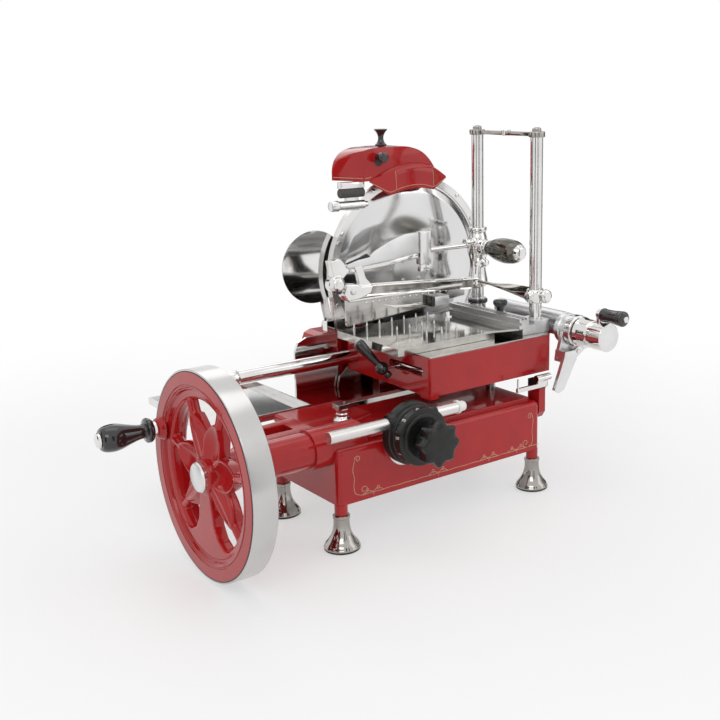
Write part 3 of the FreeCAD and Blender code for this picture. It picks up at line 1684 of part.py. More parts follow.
def ratchet(front, back):
    spot = (S.feed_x, S.feed_z)
    tip_x = S.ratchet_tip_x
    tip_z = S.ratchet_tip_z
    hub = rod("ratchet_hub", "Y", spot, (front, back), S.feed_ring_radius - 2)
    shoulder = plate(
        "ratchet_shoulder",
        "XZ",
        [
            (S.feed_x - 20, S.feed_z + 4),
            (S.feed_x + 8, S.feed_z - 19),
            (S.feed_x - 8, S.feed_z - 42),
            (S.feed_x - 33, S.feed_z - 38),
        ],
        (front, front + S.ratchet_thickness),
    )
    neck = plate(
        "ratchet_joggle",
        "XZ",
        [
            (S.feed_x - 9, S.feed_z - 26),
            (S.feed_x - 8, S.feed_z - 42),
            (S.feed_x - 33, S.feed_z - 42),
            (S.feed_x - 31, S.feed_z - 26),
        ],
        (S.ratchet_arm_front, front + S.ratchet_thickness),
    )
    arm = plate(
        "ratchet_arm",
        "XZ",
        [
            (S.feed_x - 9, S.feed_z - 27),
            (S.feed_x - 8, S.feed_z - 40),
            (tip_x + 14, tip_z - 2),
            (tip_x + 4, tip_z - 5),
            (tip_x - 4, tip_z),
            (S.feed_x - 33, S.feed_z - 36),
            (S.feed_x - 31, S.feed_z - 27),
        ],
        (S.ratchet_arm_front, S.ratchet_arm_front + S.ratchet_thickness),
    )
    pawl = plate(
        "pawl",
        "XZ",
        [
            (S.feed_x - 14, S.feed_z - 44),
            (S.feed_x + 20, S.feed_z - 30),
            (S.feed_x + 26, S.feed_z - 20),
            (S.feed_x + 14, S.feed_z - 12),
            (S.feed_x - 4, S.feed_z - 24),
        ],
        (front + S.ratchet_thickness, front + S.ratchet_thickness + 4),
    )
    bore = rod("ratchet_bore", "Y", spot, (front - 1, back + 1), S.feed_sleeve + S.running_fit)
    node("ratchet_lever", cut("lever", fuse("lever_solid", hub, shoulder, neck, arm, pawl), bore))
    pawl_back = front + S.ratchet_thickness + 4
    pad = plate(
        "bumper_pad",
        "XZ",
        [
            (S.feed_x - 9, S.feed_z - 62),
            (S.feed_x + 24, S.feed_z - 42),
            (S.feed_x + 24, S.feed_z - 24),
            (S.feed_x - 9, S.feed_z - 46),
        ],
        (pawl_back, pawl_back + S.ratchet_thickness),
    )
    node("ratchet_bumper", pad)


def check_and_write():
    DOC.recompute()
    failed = [thing.Name for thing in DOC.Objects if {"Invalid", "Error"} & set(thing.State)]
    if failed:
        sys.exit(f"objects failed: {failed}")
    os.makedirs("parts", exist_ok=True)
    for name, thing in NODES.items():
        shape = thing.Shape
        if shape.isNull() or not shape.isValid() or not shape.Solids:
            sys.exit(f"{name} has no valid solid")
    for name, thing in NODES.items():
        box = thing.Shape.BoundBox
        size = f"{box.XLength:.1f} x {box.YLength:.1f} x {box.ZLength:.1f}"
        print(f"{name}: {len(thing.Shape.Solids)} solids, {size}")
        thing.Shape.exportStep(f"parts/{name}.step")
    print(f"{len(NODES)} nodes")


SUB_PARTS = (
    feet,
    base_casting,
    base_cover,
    shaft_neck,
    flywheel,
    blade_set,
    ring_guard,
    blade_column,
    splash_and_guard,
    slice_tray,
    deflector,
    sharpener_hood,
    sharpener_stone,
    dial,
    trip_rod,
    guide_tube,
    rail,
    end_stop,
    carriage,
    release_lever,
    meat_table,
    table_slide,
    posts,
    clamp,
    clamp_knobs,
    feed,
)
for build in SUB_PARTS:
    build()
check_and_write()
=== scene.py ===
"""The looks of the hand crank meat slicer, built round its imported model. Lengths in here are millimetres."""

import math

import bmesh
import bpy
from mathutils import Matrix, Vector


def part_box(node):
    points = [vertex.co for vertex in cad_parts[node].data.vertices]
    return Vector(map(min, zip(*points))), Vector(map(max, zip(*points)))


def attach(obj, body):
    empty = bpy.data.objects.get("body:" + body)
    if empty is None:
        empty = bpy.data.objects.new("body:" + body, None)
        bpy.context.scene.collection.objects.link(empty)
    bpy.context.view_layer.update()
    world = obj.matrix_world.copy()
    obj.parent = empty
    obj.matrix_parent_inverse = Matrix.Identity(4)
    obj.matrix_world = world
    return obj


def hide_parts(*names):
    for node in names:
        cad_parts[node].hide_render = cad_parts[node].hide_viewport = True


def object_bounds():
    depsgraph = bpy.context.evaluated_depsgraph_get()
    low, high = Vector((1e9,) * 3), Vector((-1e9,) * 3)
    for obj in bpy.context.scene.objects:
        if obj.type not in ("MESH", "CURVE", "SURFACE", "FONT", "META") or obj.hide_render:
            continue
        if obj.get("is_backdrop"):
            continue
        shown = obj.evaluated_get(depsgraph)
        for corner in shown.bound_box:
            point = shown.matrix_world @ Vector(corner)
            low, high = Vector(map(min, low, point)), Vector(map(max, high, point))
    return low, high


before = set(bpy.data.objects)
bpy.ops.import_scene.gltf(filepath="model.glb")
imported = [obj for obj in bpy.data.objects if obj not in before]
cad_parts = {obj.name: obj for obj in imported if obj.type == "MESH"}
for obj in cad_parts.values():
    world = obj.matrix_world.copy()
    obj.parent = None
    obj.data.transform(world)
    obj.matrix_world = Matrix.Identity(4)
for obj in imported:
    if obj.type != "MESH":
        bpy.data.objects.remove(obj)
cad_low, cad_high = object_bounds()

MM = 0.001
AXES = {"X": (1, 2, 0), "Y": (0, 2, 1), "Z": (0, 1, 2)}
FORWARD = Vector((0, -1, 0))
SPOKES = 7
POST_RADIUS = 9.2
CLAMP_ARM_OFFSET = 4


# ---------------------------------------------------------------- places taken from the frame


def box(node):
    low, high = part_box(node)
    return low / MM, high / MM


def middle(node):
    low, high = box(node)
    return (low + high) / 2


def radius_of(node, letter="z"):
    low, high = box(node)
    return (getattr(high, letter) - getattr(low, letter)) / 2


def post_lines():
    """The x of both posts, then the y of the front post and of the rear post."""
    low, high = box("posts")
    return (low.x + high.x) / 2, low.y + POST_RADIUS, high.y - POST_RADIUS


# ---------------------------------------------------------------- materials


def node_of(tree, kind, **settings):
    made = tree.nodes.new(kind)
    for name, value in settings.items():
        if name in made.inputs:
            made.inputs[name].default_value = value
        else:
            setattr(made, name, value)
    return made


def ranged(tree, source, low, high, start=0.3, end=0.7, **settings):
    """A value between start and end, spread over low to high."""
    spread = node_of(tree, "ShaderNodeMapRange", **settings)
    for name, value in (("From Min", start), ("From Max", end), ("To Min", low), ("To Max", high)):
        spread.inputs[name].default_value = value
    tree.links.new(source, spread.inputs["Value"])
    return spread.outputs["Result"]


def noise_of(tree, scale, stretch=(1, 1, 1), detail=3.0):
    place = node_of(tree, "ShaderNodeTexCoord")
    mapping = node_of(tree, "ShaderNodeMapping", Scale=stretch)
    noise = node_of(tree, "ShaderNodeTexNoise", Scale=scale, Detail=detail)
    tree.links.new(place.outputs["Object"], mapping.inputs["Vector"])
    tree.links.new(mapping.outputs["Vector"], noise.inputs["Vector"])
    return noise.outputs["Fac"]


def rings_of(tree, axis, centre, scale):
    """Noise that only changes with the distance from an axis, as a lathe or a grinder leaves it."""
    place = node_of(tree, "ShaderNodeTexCoord")
    flat = [1.0, 1.0, 1.0]
    flat["XYZ".index(axis)] = 0.0
    spot = [-value * MM * keep for value, keep in zip(centre, flat)]
    mapping = node_of(tree, "ShaderNodeMapping", Scale=flat, Location=spot)
    reach = node_of(tree, "ShaderNodeVectorMath", operation="LENGTH")
    noise = node_of(tree, "ShaderNodeTexNoise", noise_dimensions="1D", Scale=scale, Detail=4.0)
    tree.links.new(place.outputs["Object"], mapping.inputs["Vector"])
    tree.links.new(mapping.outputs["Vector"], reach.inputs[0])
    tree.links.new(reach.outputs["Value"], noise.inputs["W"])
    return noise.outputs["Fac"]


def finish(name, colour, shade, metal=0.0, rough=(0.2, 0.3), coat=0.0, mottle=60, stretch=(1, 1, 1),
           bump=0.1, grain=900, depth=0.00002, edge=0.7, rings=None, specular=0.5):
    """A material whose colour, roughness and bump come from noise, with edges rounded by edge mm."""
    made = bpy.data.materials.new(name)
    made.use_nodes = True
    tree = made.node_tree
    shader = tree.nodes["Principled BSDF"]
    shader.inputs["Metallic"].default_value = metal
    shader.inputs["Coat Weight"].default_value = coat
    shader.inputs["Coat Roughness"].default_value = 0.03
    shader.inputs["Specular IOR Level"].default_value = specular
    blotch = noise_of(tree, mottle, stretch)
    mix = node_of(tree, "ShaderNodeMix", data_type="RGBA")
    mix.inputs["A"].default_value = (*colour, 1)
    mix.inputs["B"].default_value = (*shade, 1)
    tree.links.new(ranged(tree, blotch, 0.0, 1.0), mix.inputs["Factor"])
    tree.links.new(mix.outputs["Result"], shader.inputs["Base Color"])
    fine = rings_of(tree, *rings) if rings else noise_of(tree, grain, stretch, 4.0)
    tree.links.new(ranged(tree, fine, *rough), shader.inputs["Roughness"])
    relief = node_of(tree, "ShaderNodeBump", Strength=bump, Distance=depth)
    tree.links.new(fine, relief.inputs["Height"])
    soft = node_of(tree, "ShaderNodeBevel", samples=4, Radius=edge * MM)
    tree.links.new(soft.outputs["Normal"], relief.inputs["Normal"])
    tree.links.new(relief.outputs["Normal"], shader.inputs["Normal"])
    return made


def metal(name, colour, shade, rough, **settings):
    return finish(name, colour, shade, metal=1.0, rough=rough, **settings)


BLADE_CENTRE = tuple(middle("blade"))
WHEEL_CENTRE = tuple(middle("wheel_tyre"))

RED = finish("red_paint", (0.42, 0.010, 0.012), (0.36, 0.008, 0.009), rough=(0.13, 0.19), coat=0.5,
             mottle=25, bump=0.05, grain=260, depth=0.00004, edge=1.2, specular=0.2)
CHROME = metal("chrome", (0.80, 0.785, 0.77), (0.71, 0.695, 0.68), (0.03, 0.07), mottle=30, bump=0.03,
               grain=500)
MIRROR = metal("mirror_steel", (0.80, 0.79, 0.78), (0.74, 0.73, 0.72), (0.05, 0.11), mottle=18,
               stretch=(1, 4, 4), bump=0.03, grain=700)
TABLE_STEEL = metal("table_steel", (0.40, 0.39, 0.37), (0.54, 0.525, 0.50), (0.06, 0.12), mottle=34,
                    stretch=(1, 2, 2), bump=0.03, grain=700)
BLADE = metal("blade_steel", (0.74, 0.74, 0.74), (0.70, 0.70, 0.70), (0.10, 0.14), mottle=12, bump=0.012,
              rings=("Y", BLADE_CENTRE, 900))
RING = metal("ring_aluminium", (0.80, 0.79, 0.78), (0.74, 0.73, 0.72), (0.16, 0.26), mottle=30, bump=0.05,
             grain=1400)
TYRE = metal("brushed_tyre", (0.62, 0.61, 0.60), (0.55, 0.54, 0.53), (0.17, 0.22), mottle=14, bump=0.03)
SATIN = metal("satin_aluminium", (0.78, 0.78, 0.78), (0.70, 0.70, 0.70), (0.26, 0.38), mottle=45,
              bump=0.10, grain=1200)
BRUSHED = metal("brushed_rod", (0.76, 0.74, 0.72), (0.66, 0.64, 0.62), (0.20, 0.34), stretch=(0.3, 8, 8),
                bump=0.10, grain=300)
BLACK = finish("black_gloss", (0.010, 0.010, 0.011), (0.016, 0.015, 0.015), rough=(0.08, 0.16), coat=0.6,
               mottle=40, bump=0.04, grain=400)
DIAL_BLACK = finish("black_satin", (0.007, 0.007, 0.007), (0.012, 0.012, 0.011), rough=(0.24, 0.34),
                    mottle=80, bump=0.15, grain=1800, specular=0.38)
OLIVE = metal("lock_dark_chrome", (0.20, 0.19, 0.165), (0.13, 0.125, 0.11), (0.08, 0.16), mottle=30,
              bump=0.04, grain=500)
# darker chrome; on the foot bells, which are plain chrome, its darkness is a painted dark reflection
DARK_CHROME_AND_PAINTED_REFLECTION = metal("dark_chrome", (0.44, 0.42, 0.39), (0.33, 0.31, 0.29), (0.06, 0.14), mottle=50,
                    bump=0.04, grain=600)
# near-black chrome with lighter streaks, for the sheet in the clamp arm's hollow: painted shade and painted
# reflection
CHROME_WITH_PAINTED_REFLECTION_AND_SHADE = metal("painted_reflection_and_shade_chrome", (0.10, 0.095, 0.085), (0.52, 0.49, 0.46), (0.06, 0.12), mottle=55,
                stretch=(1, 1, 0.4), bump=0.05, grain=500)
RUBBER = finish("rubber_feet", (0.012, 0.012, 0.012), (0.020, 0.019, 0.018), rough=(0.55, 0.75),
                mottle=120, bump=0.35, grain=2400)
NYLON = finish("nylon", (0.88, 0.87, 0.85), (0.82, 0.81, 0.78), rough=(0.35, 0.5), mottle=90, bump=0.10)
STONE = finish("stone", (0.10, 0.095, 0.09), (0.045, 0.043, 0.04), rough=(0.7, 0.9), mottle=900, bump=0.5,
               grain=2600, depth=0.0001)
CREAM = finish("pinstripe", (0.60, 0.36, 0.22), (0.48, 0.24, 0.14), rough=(0.25, 0.40), coat=0.4,
               mottle=200, bump=0.05, edge=0.1)
WHITE_INK = finish("dial_white", (0.80, 0.80, 0.78), (0.70, 0.70, 0.68), rough=(0.4, 0.5), mottle=300,
                   edge=0.05)
# matte black for print and dark joints, and for black pieces that are painted shade: the hood's mouth, the
# clamp's slot and the lug's hole
BLACK_INK_AND_PAINTED_SHADE = finish("black_print_and_painted_shade", (0.012, 0.012, 0.012), (0.02, 0.02, 0.02), rough=(0.4, 0.5), mottle=300,
                   edge=0.05)

# CAD pieces that are shown as they are
CAD_FINISHES = {
    RED: ("base_casting", "shaft_neck", "blade_column", "end_lug", "carriage"),
    CHROME: ("ring_screws", "deflector_pivot", "tube_bracket", "main_shaft", "stop_bar", "posts",
             "guide_tube", "slot_rod", "blade_spindle", "table_spikes", "stone_spindle"),
    MIRROR: ("splash_plate", "slice_tray", "press_plate"),
    TABLE_STEEL: ("meat_table", "carriage_top", "front_rail"),
    BLADE: ("blade",),
    RING: ("ring_guard",),
    SATIN: ("table_slide", "ratchet_lever", "base_cover"),
    BRUSHED: ("trip_rod",),
    BLACK: ("stop_block", "ratchet_bumper"),
    DARK_CHROME_AND_PAINTED_REFLECTION: ("lower_guard",),
    NYLON: ("trip_tip",),
    RUBBER: ("foot_pads",),
    STONE: ("stone_block",),
}
for material, nodes in CAD_FINISHES.items():
    for node in nodes:
        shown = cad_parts[node]
        shown.data.materials.clear()
        shown.data.materials.append(material)

# a colour slot name for each finish, which piece() looks up where its call names no other, but does not use
SLOTS = {
    RED: "red_paint", CREAM: "red_paint", CHROME: "chrome", MIRROR: "mirror_steel",
    TABLE_STEEL: "mirror_steel", BLADE: "blade_steel", RING: "aluminium", SATIN: "aluminium",
    TYRE: "brushed", BLACK: "black_plastic", BLACK_INK_AND_PAINTED_SHADE: "black_plastic", DIAL_BLACK: "black_satin",
    WHITE_INK: "black_satin", OLIVE: "dark_chrome", DARK_CHROME_AND_PAINTED_REFLECTION: "dark_chrome",
    CHROME_WITH_PAINTED_REFLECTION_AND_SHADE: "dark_chrome", RUBBER: "rubber_feet", NYLON: "nylon", STONE: "stone",
}


# ---------------------------------------------------------------- mesh tools


def mesh_data(name, mesh):
    data = bpy.data.meshes.new(name)
    mesh.to_mesh(data)
    mesh.free()
    return data


def placed(name, data):
    made = bpy.data.objects.new(name, data)
    bpy.context.scene.collection.objects.link(made)
    return made


def piece(name, mesh, material, body, nodes=(), slot=None, sharp=32):
    """Makes a bmesh in millimetres into a piece that rides on a body and stands for CAD nodes."""
    bmesh.ops.remove_doubles(mesh, verts=mesh.verts, dist=0.002)
    bmesh.ops.recalc_face_normals(mesh, faces=mesh.faces)
    bmesh.ops.scale(mesh, vec=(MM, MM, MM), verts=mesh.verts)
    for face in mesh.faces:
        face.smooth = True
    for edge in mesh.edges:
        edge.smooth = len(edge.link_faces) == 2 and edge.calc_face_angle(0) < math.radians(sharp)
    made = placed(name, mesh_data(name, mesh))
    made.data.materials.append(material)
    slot = slot or SLOTS[material]
    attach(made, body)
    if nodes:
        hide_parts(*nodes)


def joined(*parts):
    whole = bmesh.new()
    for part in parts:
        step = mesh_data("step", part)
        whole.from_mesh(step)
        bpy.data.meshes.remove(step)
    return whole


def softened(mesh, width, segments=3, above=30):
    """Rounds the edges of a solid that are sharper than an angle."""
    bmesh.ops.recalc_face_normals(mesh, faces=mesh.faces)
    edges = [
        edge for edge in mesh.edges
        if len(edge.link_faces) == 2 and edge.calc_face_angle(0) > math.radians(above)
    ]
    bmesh.ops.bevel(mesh, geom=edges, offset=width, segments=segments, profile=0.5, affect="EDGES",
                    clamp_overlap=True)
    return mesh


def by_step(base, size, *pairs):
    """Points of an outline, in steps from a base and in steps from a size."""
    return [(base + along, size + across) for along, across in pairs]


def by_share(base, size, *pairs):
    """Points of an outline, in steps from a base and in shares of a size."""
    return [(base + along, size * across) for along, across in pairs]


def eased(points, steps=6):
    """A smooth line through points, by Catmull and Rom's rule."""
    line = []
    last = len(points) - 1
    for index in range(last):
        corners = [Vector(points[min(max(index + shift, 0), last)]) for shift in (-1, 0, 1, 2)]
        before, start, end, after = corners
        for step in range(steps):
            t = step / steps
            line.append(
                start * 2 + (end - before) * t
                + (before * 2 - start * 5 + end * 4 - after) * t * t
                + (start * 3 - before - end * 3 + after) * t * t * t
            )
    return [point / 2 for point in line] + [Vector(points[last])]


def smooth(pairs, steps):
    """A smooth outline through pairs."""
    return [(p.x, p.y) for p in eased([(first, second, 0) for first, second in pairs], steps)]


def swelling(base, run, size, shape, steps):
    """A smooth profile from shares of a run along the axis and shares of a size across it."""
    return smooth([(base + run * place, size * share) for place, share in shape], steps)


def spot_on(axis, first, second, along):
    """A point from its two coordinates across an axis, in order, and its place along it."""
    values = [0, 0, 0]
    for index, value in zip(AXES[axis], (first, second, along)):
        values[index] = value
    return Vector(values)


def bridge(mesh, ring, other):
    """Faces between two closed rings of vertices."""
    for index in range(len(ring)):
        following = (index + 1) % len(ring)
        mesh.faces.new((ring[index], ring[following], other[following], other[index]))


def stacked(mesh, rings):
    """Faces between rings that follow each other, and over both ends."""
    for ring, other in zip(rings, rings[1:]):
        bridge(mesh, ring, other)
    mesh.faces.new(rings[0])
    mesh.faces.new(rings[-1])
    return mesh


def turned(axis, centre, profile, segments=72, wave=None):
    """A closed solid of revolution: profile is (along the axis, radius), from one end to the other."""
    mesh = bmesh.new()
    first, second = (centre[index] for index in AXES[axis][:2])
    rings = []
    for along, radius in profile:
        ring = []
        for step in range(segments):
            angle = math.tau * step / segments
            reach = max(radius, 0.001) * (wave(angle, along) if wave else 1)
            place = spot_on(axis, first + reach * math.cos(angle), second + reach * math.sin(angle), along)
            ring.append(mesh.verts.new(place))
        rings.append(ring)
    return stacked(mesh, rings)


def hoop(axis, centre, loop, segments=144):
    """A ring: the closed outline loop of (along the axis, radius), swept once round the axis."""
    mesh = bmesh.new()
    first, second = (centre[index] for index in AXES[axis][:2])
    rings = []
    for step in range(segments):
        angle = math.tau * step / segments
        rings.append([
            mesh.verts.new(spot_on(axis, first + r * math.cos(angle), second + r * math.sin(angle), along))
            for along, r in loop
        ])
    for ring, other in zip(rings, rings[1:] + rings[:1]):
        bridge(mesh, ring, other)
    return mesh


def slab(axis, outline, span):
    """A prism: an outline across an axis, from one place along it to another."""
    mesh = bmesh.new()
    ends = [[mesh.verts.new(spot_on(axis, *point, along)) for point in outline] for along in span]
    for end in ends:
        mesh.faces.new(end)
    bridge(mesh, *ends)
    bmesh.ops.recalc_face_normals(mesh, faces=mesh.faces)
    return mesh


def rectangle(low, high):
    return [(low[0], low[1]), (high[0], low[1]), (high[0], high[1]), (low[0], high[1])]


def brick(low, high):
    return slab("Z", rectangle(low, high), (low[2], high[2]))


def lofted(sections):
    """A closed solid through closed sections that all have as many points."""
    mesh = bmesh.new()
    return stacked(mesh, [[mesh.verts.new(point) for point in section] for section in sections])


def heading(path, index):
    """The direction of a path at one of its points."""
    last = len(path) - 1
    return (Vector(path[min(index + 1, last)]) - Vector(path[max(index - 1, 0)])).normalized()


def pipe(path, radius, sides=16):
    """A round bar that follows a path of points, none of which runs upright."""
    sections = []
    for index, point in enumerate(path):
        ahead = heading(path, index)
        across = ahead.cross(Vector((0, 0, 1))).normalized()
        other = ahead.cross(across)
        turns = [math.tau * side / sides for side in range(sides)]
        sections.append([
            Vector(point) + (across * math.cos(turn) + other * math.sin(turn)) * radius for turn in turns
        ])
    return lofted(sections)


def stripe(points, outward, width, thickness=0.25):
    """A thin painted line that follows points on a surface whose outward direction is given."""
    mesh = bmesh.new()
    rows = []
    for index, point in enumerate(points):
        side = heading(points, index).cross(outward).normalized() * width / 2
        lift = Vector(outward) * thickness
        offsets = (-side, -side * 0.8 + lift, side * 0.8 + lift, side)
        rows.append([mesh.verts.new(Vector(point) + offset) for offset in offsets])
    for row, following in zip(rows, rows[1:]):
        for index in range(3):
            mesh.faces.new((row[index], row[index + 1], following[index + 1], following[index]))
    return mesh


def with_modifiers(shown):
    """The mesh that an object's modifiers leave."""
    evaluated = shown.evaluated_get(bpy.context.evaluated_depsgraph_get())
    result = bpy.data.meshes.new_from_object(evaluated)
    left = bmesh.new()
    left.from_mesh(result)
    bpy.data.meshes.remove(result)
    return left


def helper(name, mesh):
    """An object that is only there for a modifier."""
    bmesh.ops.recalc_face_normals(mesh, faces=mesh.faces)
    return placed(name, mesh_data(name, mesh))


def fused(name, mesh, voxel, smoothing):
    """One skin over overlapping solids, with the soft inside corners of a casting."""
    rough = helper(name, mesh)
    remesh = rough.modifiers.new("skin", "REMESH")
    remesh.mode = "VOXEL"
    remesh.voxel_size = voxel
    calm = rough.modifiers.new("calm", "SMOOTH")
    calm.iterations = smoothing
    calm.factor = 0.6
    skin = with_modifiers(rough)
    bpy.data.objects.remove(rough)
    return skin


def carved(mesh, *tools):
    """A solid with other solids taken out of it."""
    base = helper("part", mesh)
    helpers = [helper("part", tool) for tool in tools]
    for tool in helpers:
        take = base.modifiers.new("take", "BOOLEAN")
        take.operation = "DIFFERENCE"
        take.object = tool
    left = with_modifiers(base)
    for spent in (base, *helpers):
        bpy.data.objects.remove(spent)
    return left


# ---------------------------------------------------------------- flywheel and crank


def spoke_directions(angle):
    """The directions along a spoke and across it."""
    return Vector((0, math.cos(angle), math.sin(angle))), Vector((0, -math.sin(angle), math.cos(angle)))


def leaf_spoke(centre, angle, reach, width, planes, fluted):
    """A pointed leaf of the wheel: a bowl with a rolled rim, or a swelling leaf with flutes along it."""
    inner, outer = reach
    front, back = planes
    along, across = spoke_directions(angle)
    steps = 30
    lines = 26
    sections = []
    for step in range(steps + 1):
        u = step / steps
        swell = max(math.sin(math.pi * (0.05 + 0.90 * u ** 0.9)), 0.02) ** 0.75
        half = width / 2 * swell
        axis_point = Vector((0, centre[1], centre[2])) + along * (inner + (outer - inner) * u)
        section = []
        for side in (1, -1):
            for line in range(lines):
                v = (-1 + 2 * line / lines) * side
                edge = (1 - abs(v) ** 6) ** 0.5
                if side < 0:
                    x = (front + back) / 2 + (back - front) / 2 * edge
                elif fluted:
                    crown = 2.5 + 5.5 * v * v * swell
                    x = front + crown + 1.5 * math.cos(3 * math.pi * v) * swell + (1 - edge) * 4
                else:
                    x = front + (1 - edge) * 4 + 12.5 * (1 - v * v) ** 1.25 * swell
                section.append(axis_point + across * (half * v) + Vector((x, 0, 0)))
        sections.append(section)
    return lofted(sections)


def rib_spoke(centre, angle, reach, planes):
    """The narrow rib that ties a leaf's tip to the rim, flared where it meets the rim."""
    inner, outer = reach
    along, across = spoke_directions(angle)
    thick = (planes[1] - planes[0]) / 2
    middle_x = (planes[0] + planes[1]) / 2
    steps = 10
    lines = 16
    turns = [math.tau * line / lines for line in range(lines)]
    sections = []
    for step in range(steps + 1):
        u = step / steps
        half = 6.5 + 6 * u ** 4
        place = Vector((0, centre[1], centre[2])) + along * (inner + (outer - inner) * u)
        sections.append([
            place + across * (half * math.cos(turn)) + Vector((middle_x + thick * math.sin(turn), 0, 0))
            for turn in turns
        ])
    return lofted(sections)


def solid_sector(centre, web):
    """The outline of the wheel's plain sector, which widens from the hub into the rim."""
    side = [(12, -14), (16, -38), (20, -58), (29, -72), (44, -80), (60, -78)]
    arc = []
    for step in range(15):
        angle = math.radians(-48 - 84 * step / 14)
        arc.append((web * math.cos(angle), web * math.sin(angle)))
    return by_step(centre[1], centre[2], *side, *arc, *[(-y, z) for y, z in reversed(side)])


def wheel():
    """The red casting with its rim and hub, then the lug of the crank pin."""
    low, high = box("flywheel")
    front, back = low.x, high.x
    rim = radius_of("flywheel")
    step = rim - 22
    web = rim * 0.745
    loop = by_step(front, rim, (0.8, 0), (0, -1.0))
    loop += by_step(front, step, (0, 7.4), (1.2, 6.6), (1.2, 5.2), (0.2, 4.4), (0.2, 3.4), (1.3, 2.4),
                    (1.5, 1.0), (3.4, 0), (4.4, -0.6), (4.8, -2.0))
    loop += by_step(front, web, (5.0, 5), (6.2, 1.6), (9, 0), (16, -0.6))
    loop += by_step(back, web, (-7, 1), (-2, 5))
    loop += [(back, step), (back, rim - 1), (back - 0.8, rim)]
    piece("flywheel_rim", hoop("X", WHEEL_CENTRE, loop, 192), RED, "wheel", ("flywheel",))

    web_front = front + 4.5
    web_back = front + 24
    parts = []
    for index in range(SPOKES - 1):
        angle = math.radians(-90 + 360 / SPOKES * (index + 1))
        leaf = (12, web * 0.80)
        rib = (web * 0.75, web + 6)
        fluted = index in (0, 2, 5)
        parts.append(leaf_spoke(WHEEL_CENTRE, angle, leaf, 41, (web_front - 1, web_back), fluted))
        parts.append(rib_spoke(WHEEL_CENTRE, angle, rib, (web_front + 2, web_back - 3)))
    sector = slab("X", solid_sector(WHEEL_CENTRE, web + 6), (front + 3.6, web_back - 6))
    parts.append(softened(sector, 2.0, 3))
    hub = by_step(web_front, 0, (-4, 18.5), (-3, 20.5), (4, 22)) + by_step(back, 0, (-8, 21), (-2, 20))
    parts.append(turned("X", WHEEL_CENTRE, hub, 64))
    flange = by_step(front, web, (5.4, 1.5), (8, -1.5), (16, -2))
    flange += [(web_back, web + 2), (web_back, web + 8), (front + 5.6, web + 8)]
    parts.append(hoop("X", WHEEL_CENTRE, flange, 144))
    piece("flywheel_spokes", fused("spokes", joined(*parts), 0.95, 6), RED, "wheel", sharp=60)
    lug = by_step(front, 0, (-6.5, 9.5), (-5.5, 12.0), (-1.0, 13.8), (1.5, 16.5))
    piece("crank_lug", turned("X", middle("crank_grip"), lug, 64), RED, "wheel", sharp=50)


def tyre():
    """The wheel's bright tyre with its dark joint, and the cap over the shaft's end."""
    rim = radius_of("flywheel")
    low, high = box("wheel_tyre")
    outer = radius_of("wheel_tyre")
    loop = by_step(low.x, rim, (0.5, 0.1), (0, 0.5)) + by_step(low.x, outer, (0, -0.5), (0.5, 0))
    loop += by_step(high.x, outer, (-0.5, 0), (0, -0.5)) + [(high.x, rim + 0.1)]
    piece("wheel_tyre_skin", hoop("X", WHEEL_CENTRE, loop, 192), TYRE, "wheel", ("wheel_tyre",))
    groove = by_step(low.x + 0.05, rim, (-0.4, -0.5), (-0.4, 0.5), (0.1, 0.5), (0.1, -0.5))
    piece("tyre_joint", hoop("X", WHEEL_CENTRE, groove, 192), BLACK_INK_AND_PAINTED_SHADE, "wheel")
    cap = by_step(box("main_shaft")[0].x, 0, (-0.05, 0), (-0.05, 16.2), (0.5, 17.2), (1.8, 17.9), (9, 17.9))
    piece("hub_cap", turned("X", WHEEL_CENTRE, cap, 96), SATIN, "wheel", slot="brushed")


def crank():
    low, high = box("crank_grip")
    spot = middle("crank_grip")
    shape = [(0, 0.66), (0.02, 0.80), (0.10, 0.94), (0.24, 1.0), (0.38, 0.93), (0.55, 0.74), (0.72, 0.57),
             (0.82, 0.53), (0.865, 0.60), (0.885, 0.84), (0.91, 0.905), (0.96, 0.90), (1.0, 0.80)]
    profile = swelling(low.x, high.x - low.x, radius_of("crank_grip"), shape, 5)
    piece("crank_grip_skin", turned("X", spot, profile, 72), BLACK, "crank_handle", ("crank_grip",),
          sharp=50)
    low, high = box("crank_pin")
    pin = by_step(low.x, 0, (0, 0), (0, 7.2), (0.8, 8.8), (3.6, 9.4), (4.2, 6)) + [(high.x - 30, 6)]
    flange = by_step(box("wheel_tyre")[0].x, 0, (-11.6, 8.0), (-11.0, 9.6), (-8, 10.2), (-6.8, 9.4),
                     (-6, 9.0))
    steel = joined(turned("X", spot, pin, 48), turned("X", spot, flange, 48))
    piece("crank_pin_skin", steel, CHROME, "wheel", ("crank_pin",))


# ---------------------------------------------------------------- feet


def feet():
    low, high = box("foot_bells")
    pads = box("foot_pads")
    radius = 23.5
    pad_radius = 21
    spots = [
        (x, y, 0) for x in (pads[0].x + pad_radius, pads[1].x - pad_radius)
        for y in (pads[0].y + pad_radius, pads[1].y - pad_radius)
    ]
    height = high.z - low.z
    shape = [(0, 1.0), (0.035, 1.0), (0.06, 0.975), (0.14, 0.90), (0.28, 0.70), (0.45, 0.54), (0.66, 0.455),
             (0.90, 0.44)]
    profile = [(low.z, radius * 0.9)] + swelling(low.z, height, radius, shape, 6)
    profile += by_share(low.z, radius, (height * 0.91, 0.475), (height * 0.985, 0.475))
    profile += [(high.z, radius * 0.45)]
    bells = [turned("Z", spot, profile, 80) for spot in spots]
    # the bells are plain chrome; the darker chrome on them is a painted dark reflection
    piece("foot_bell_skins", joined(*bells), DARK_CHROME_AND_PAINTED_REFLECTION, "frame", ("foot_bells",), "chrome", sharp=40)
    sole = by_share(pads[0].z, radius, (0, 0.93), (0.8, 0.985))
    sole += by_share(pads[1].z, radius, (0, 0.99), (0.05, 0.9))
    soles = [turned("Z", spot, sole, 80) for spot in spots]
    piece("foot_soles", joined(*soles), RUBBER, "frame", ("foot_pads",))


# ---------------------------------------------------------------- sharpener


def hood_face():
    """The y of the hood's front, behind its visor."""
    return box("sharpener_hood")[0].y + 10


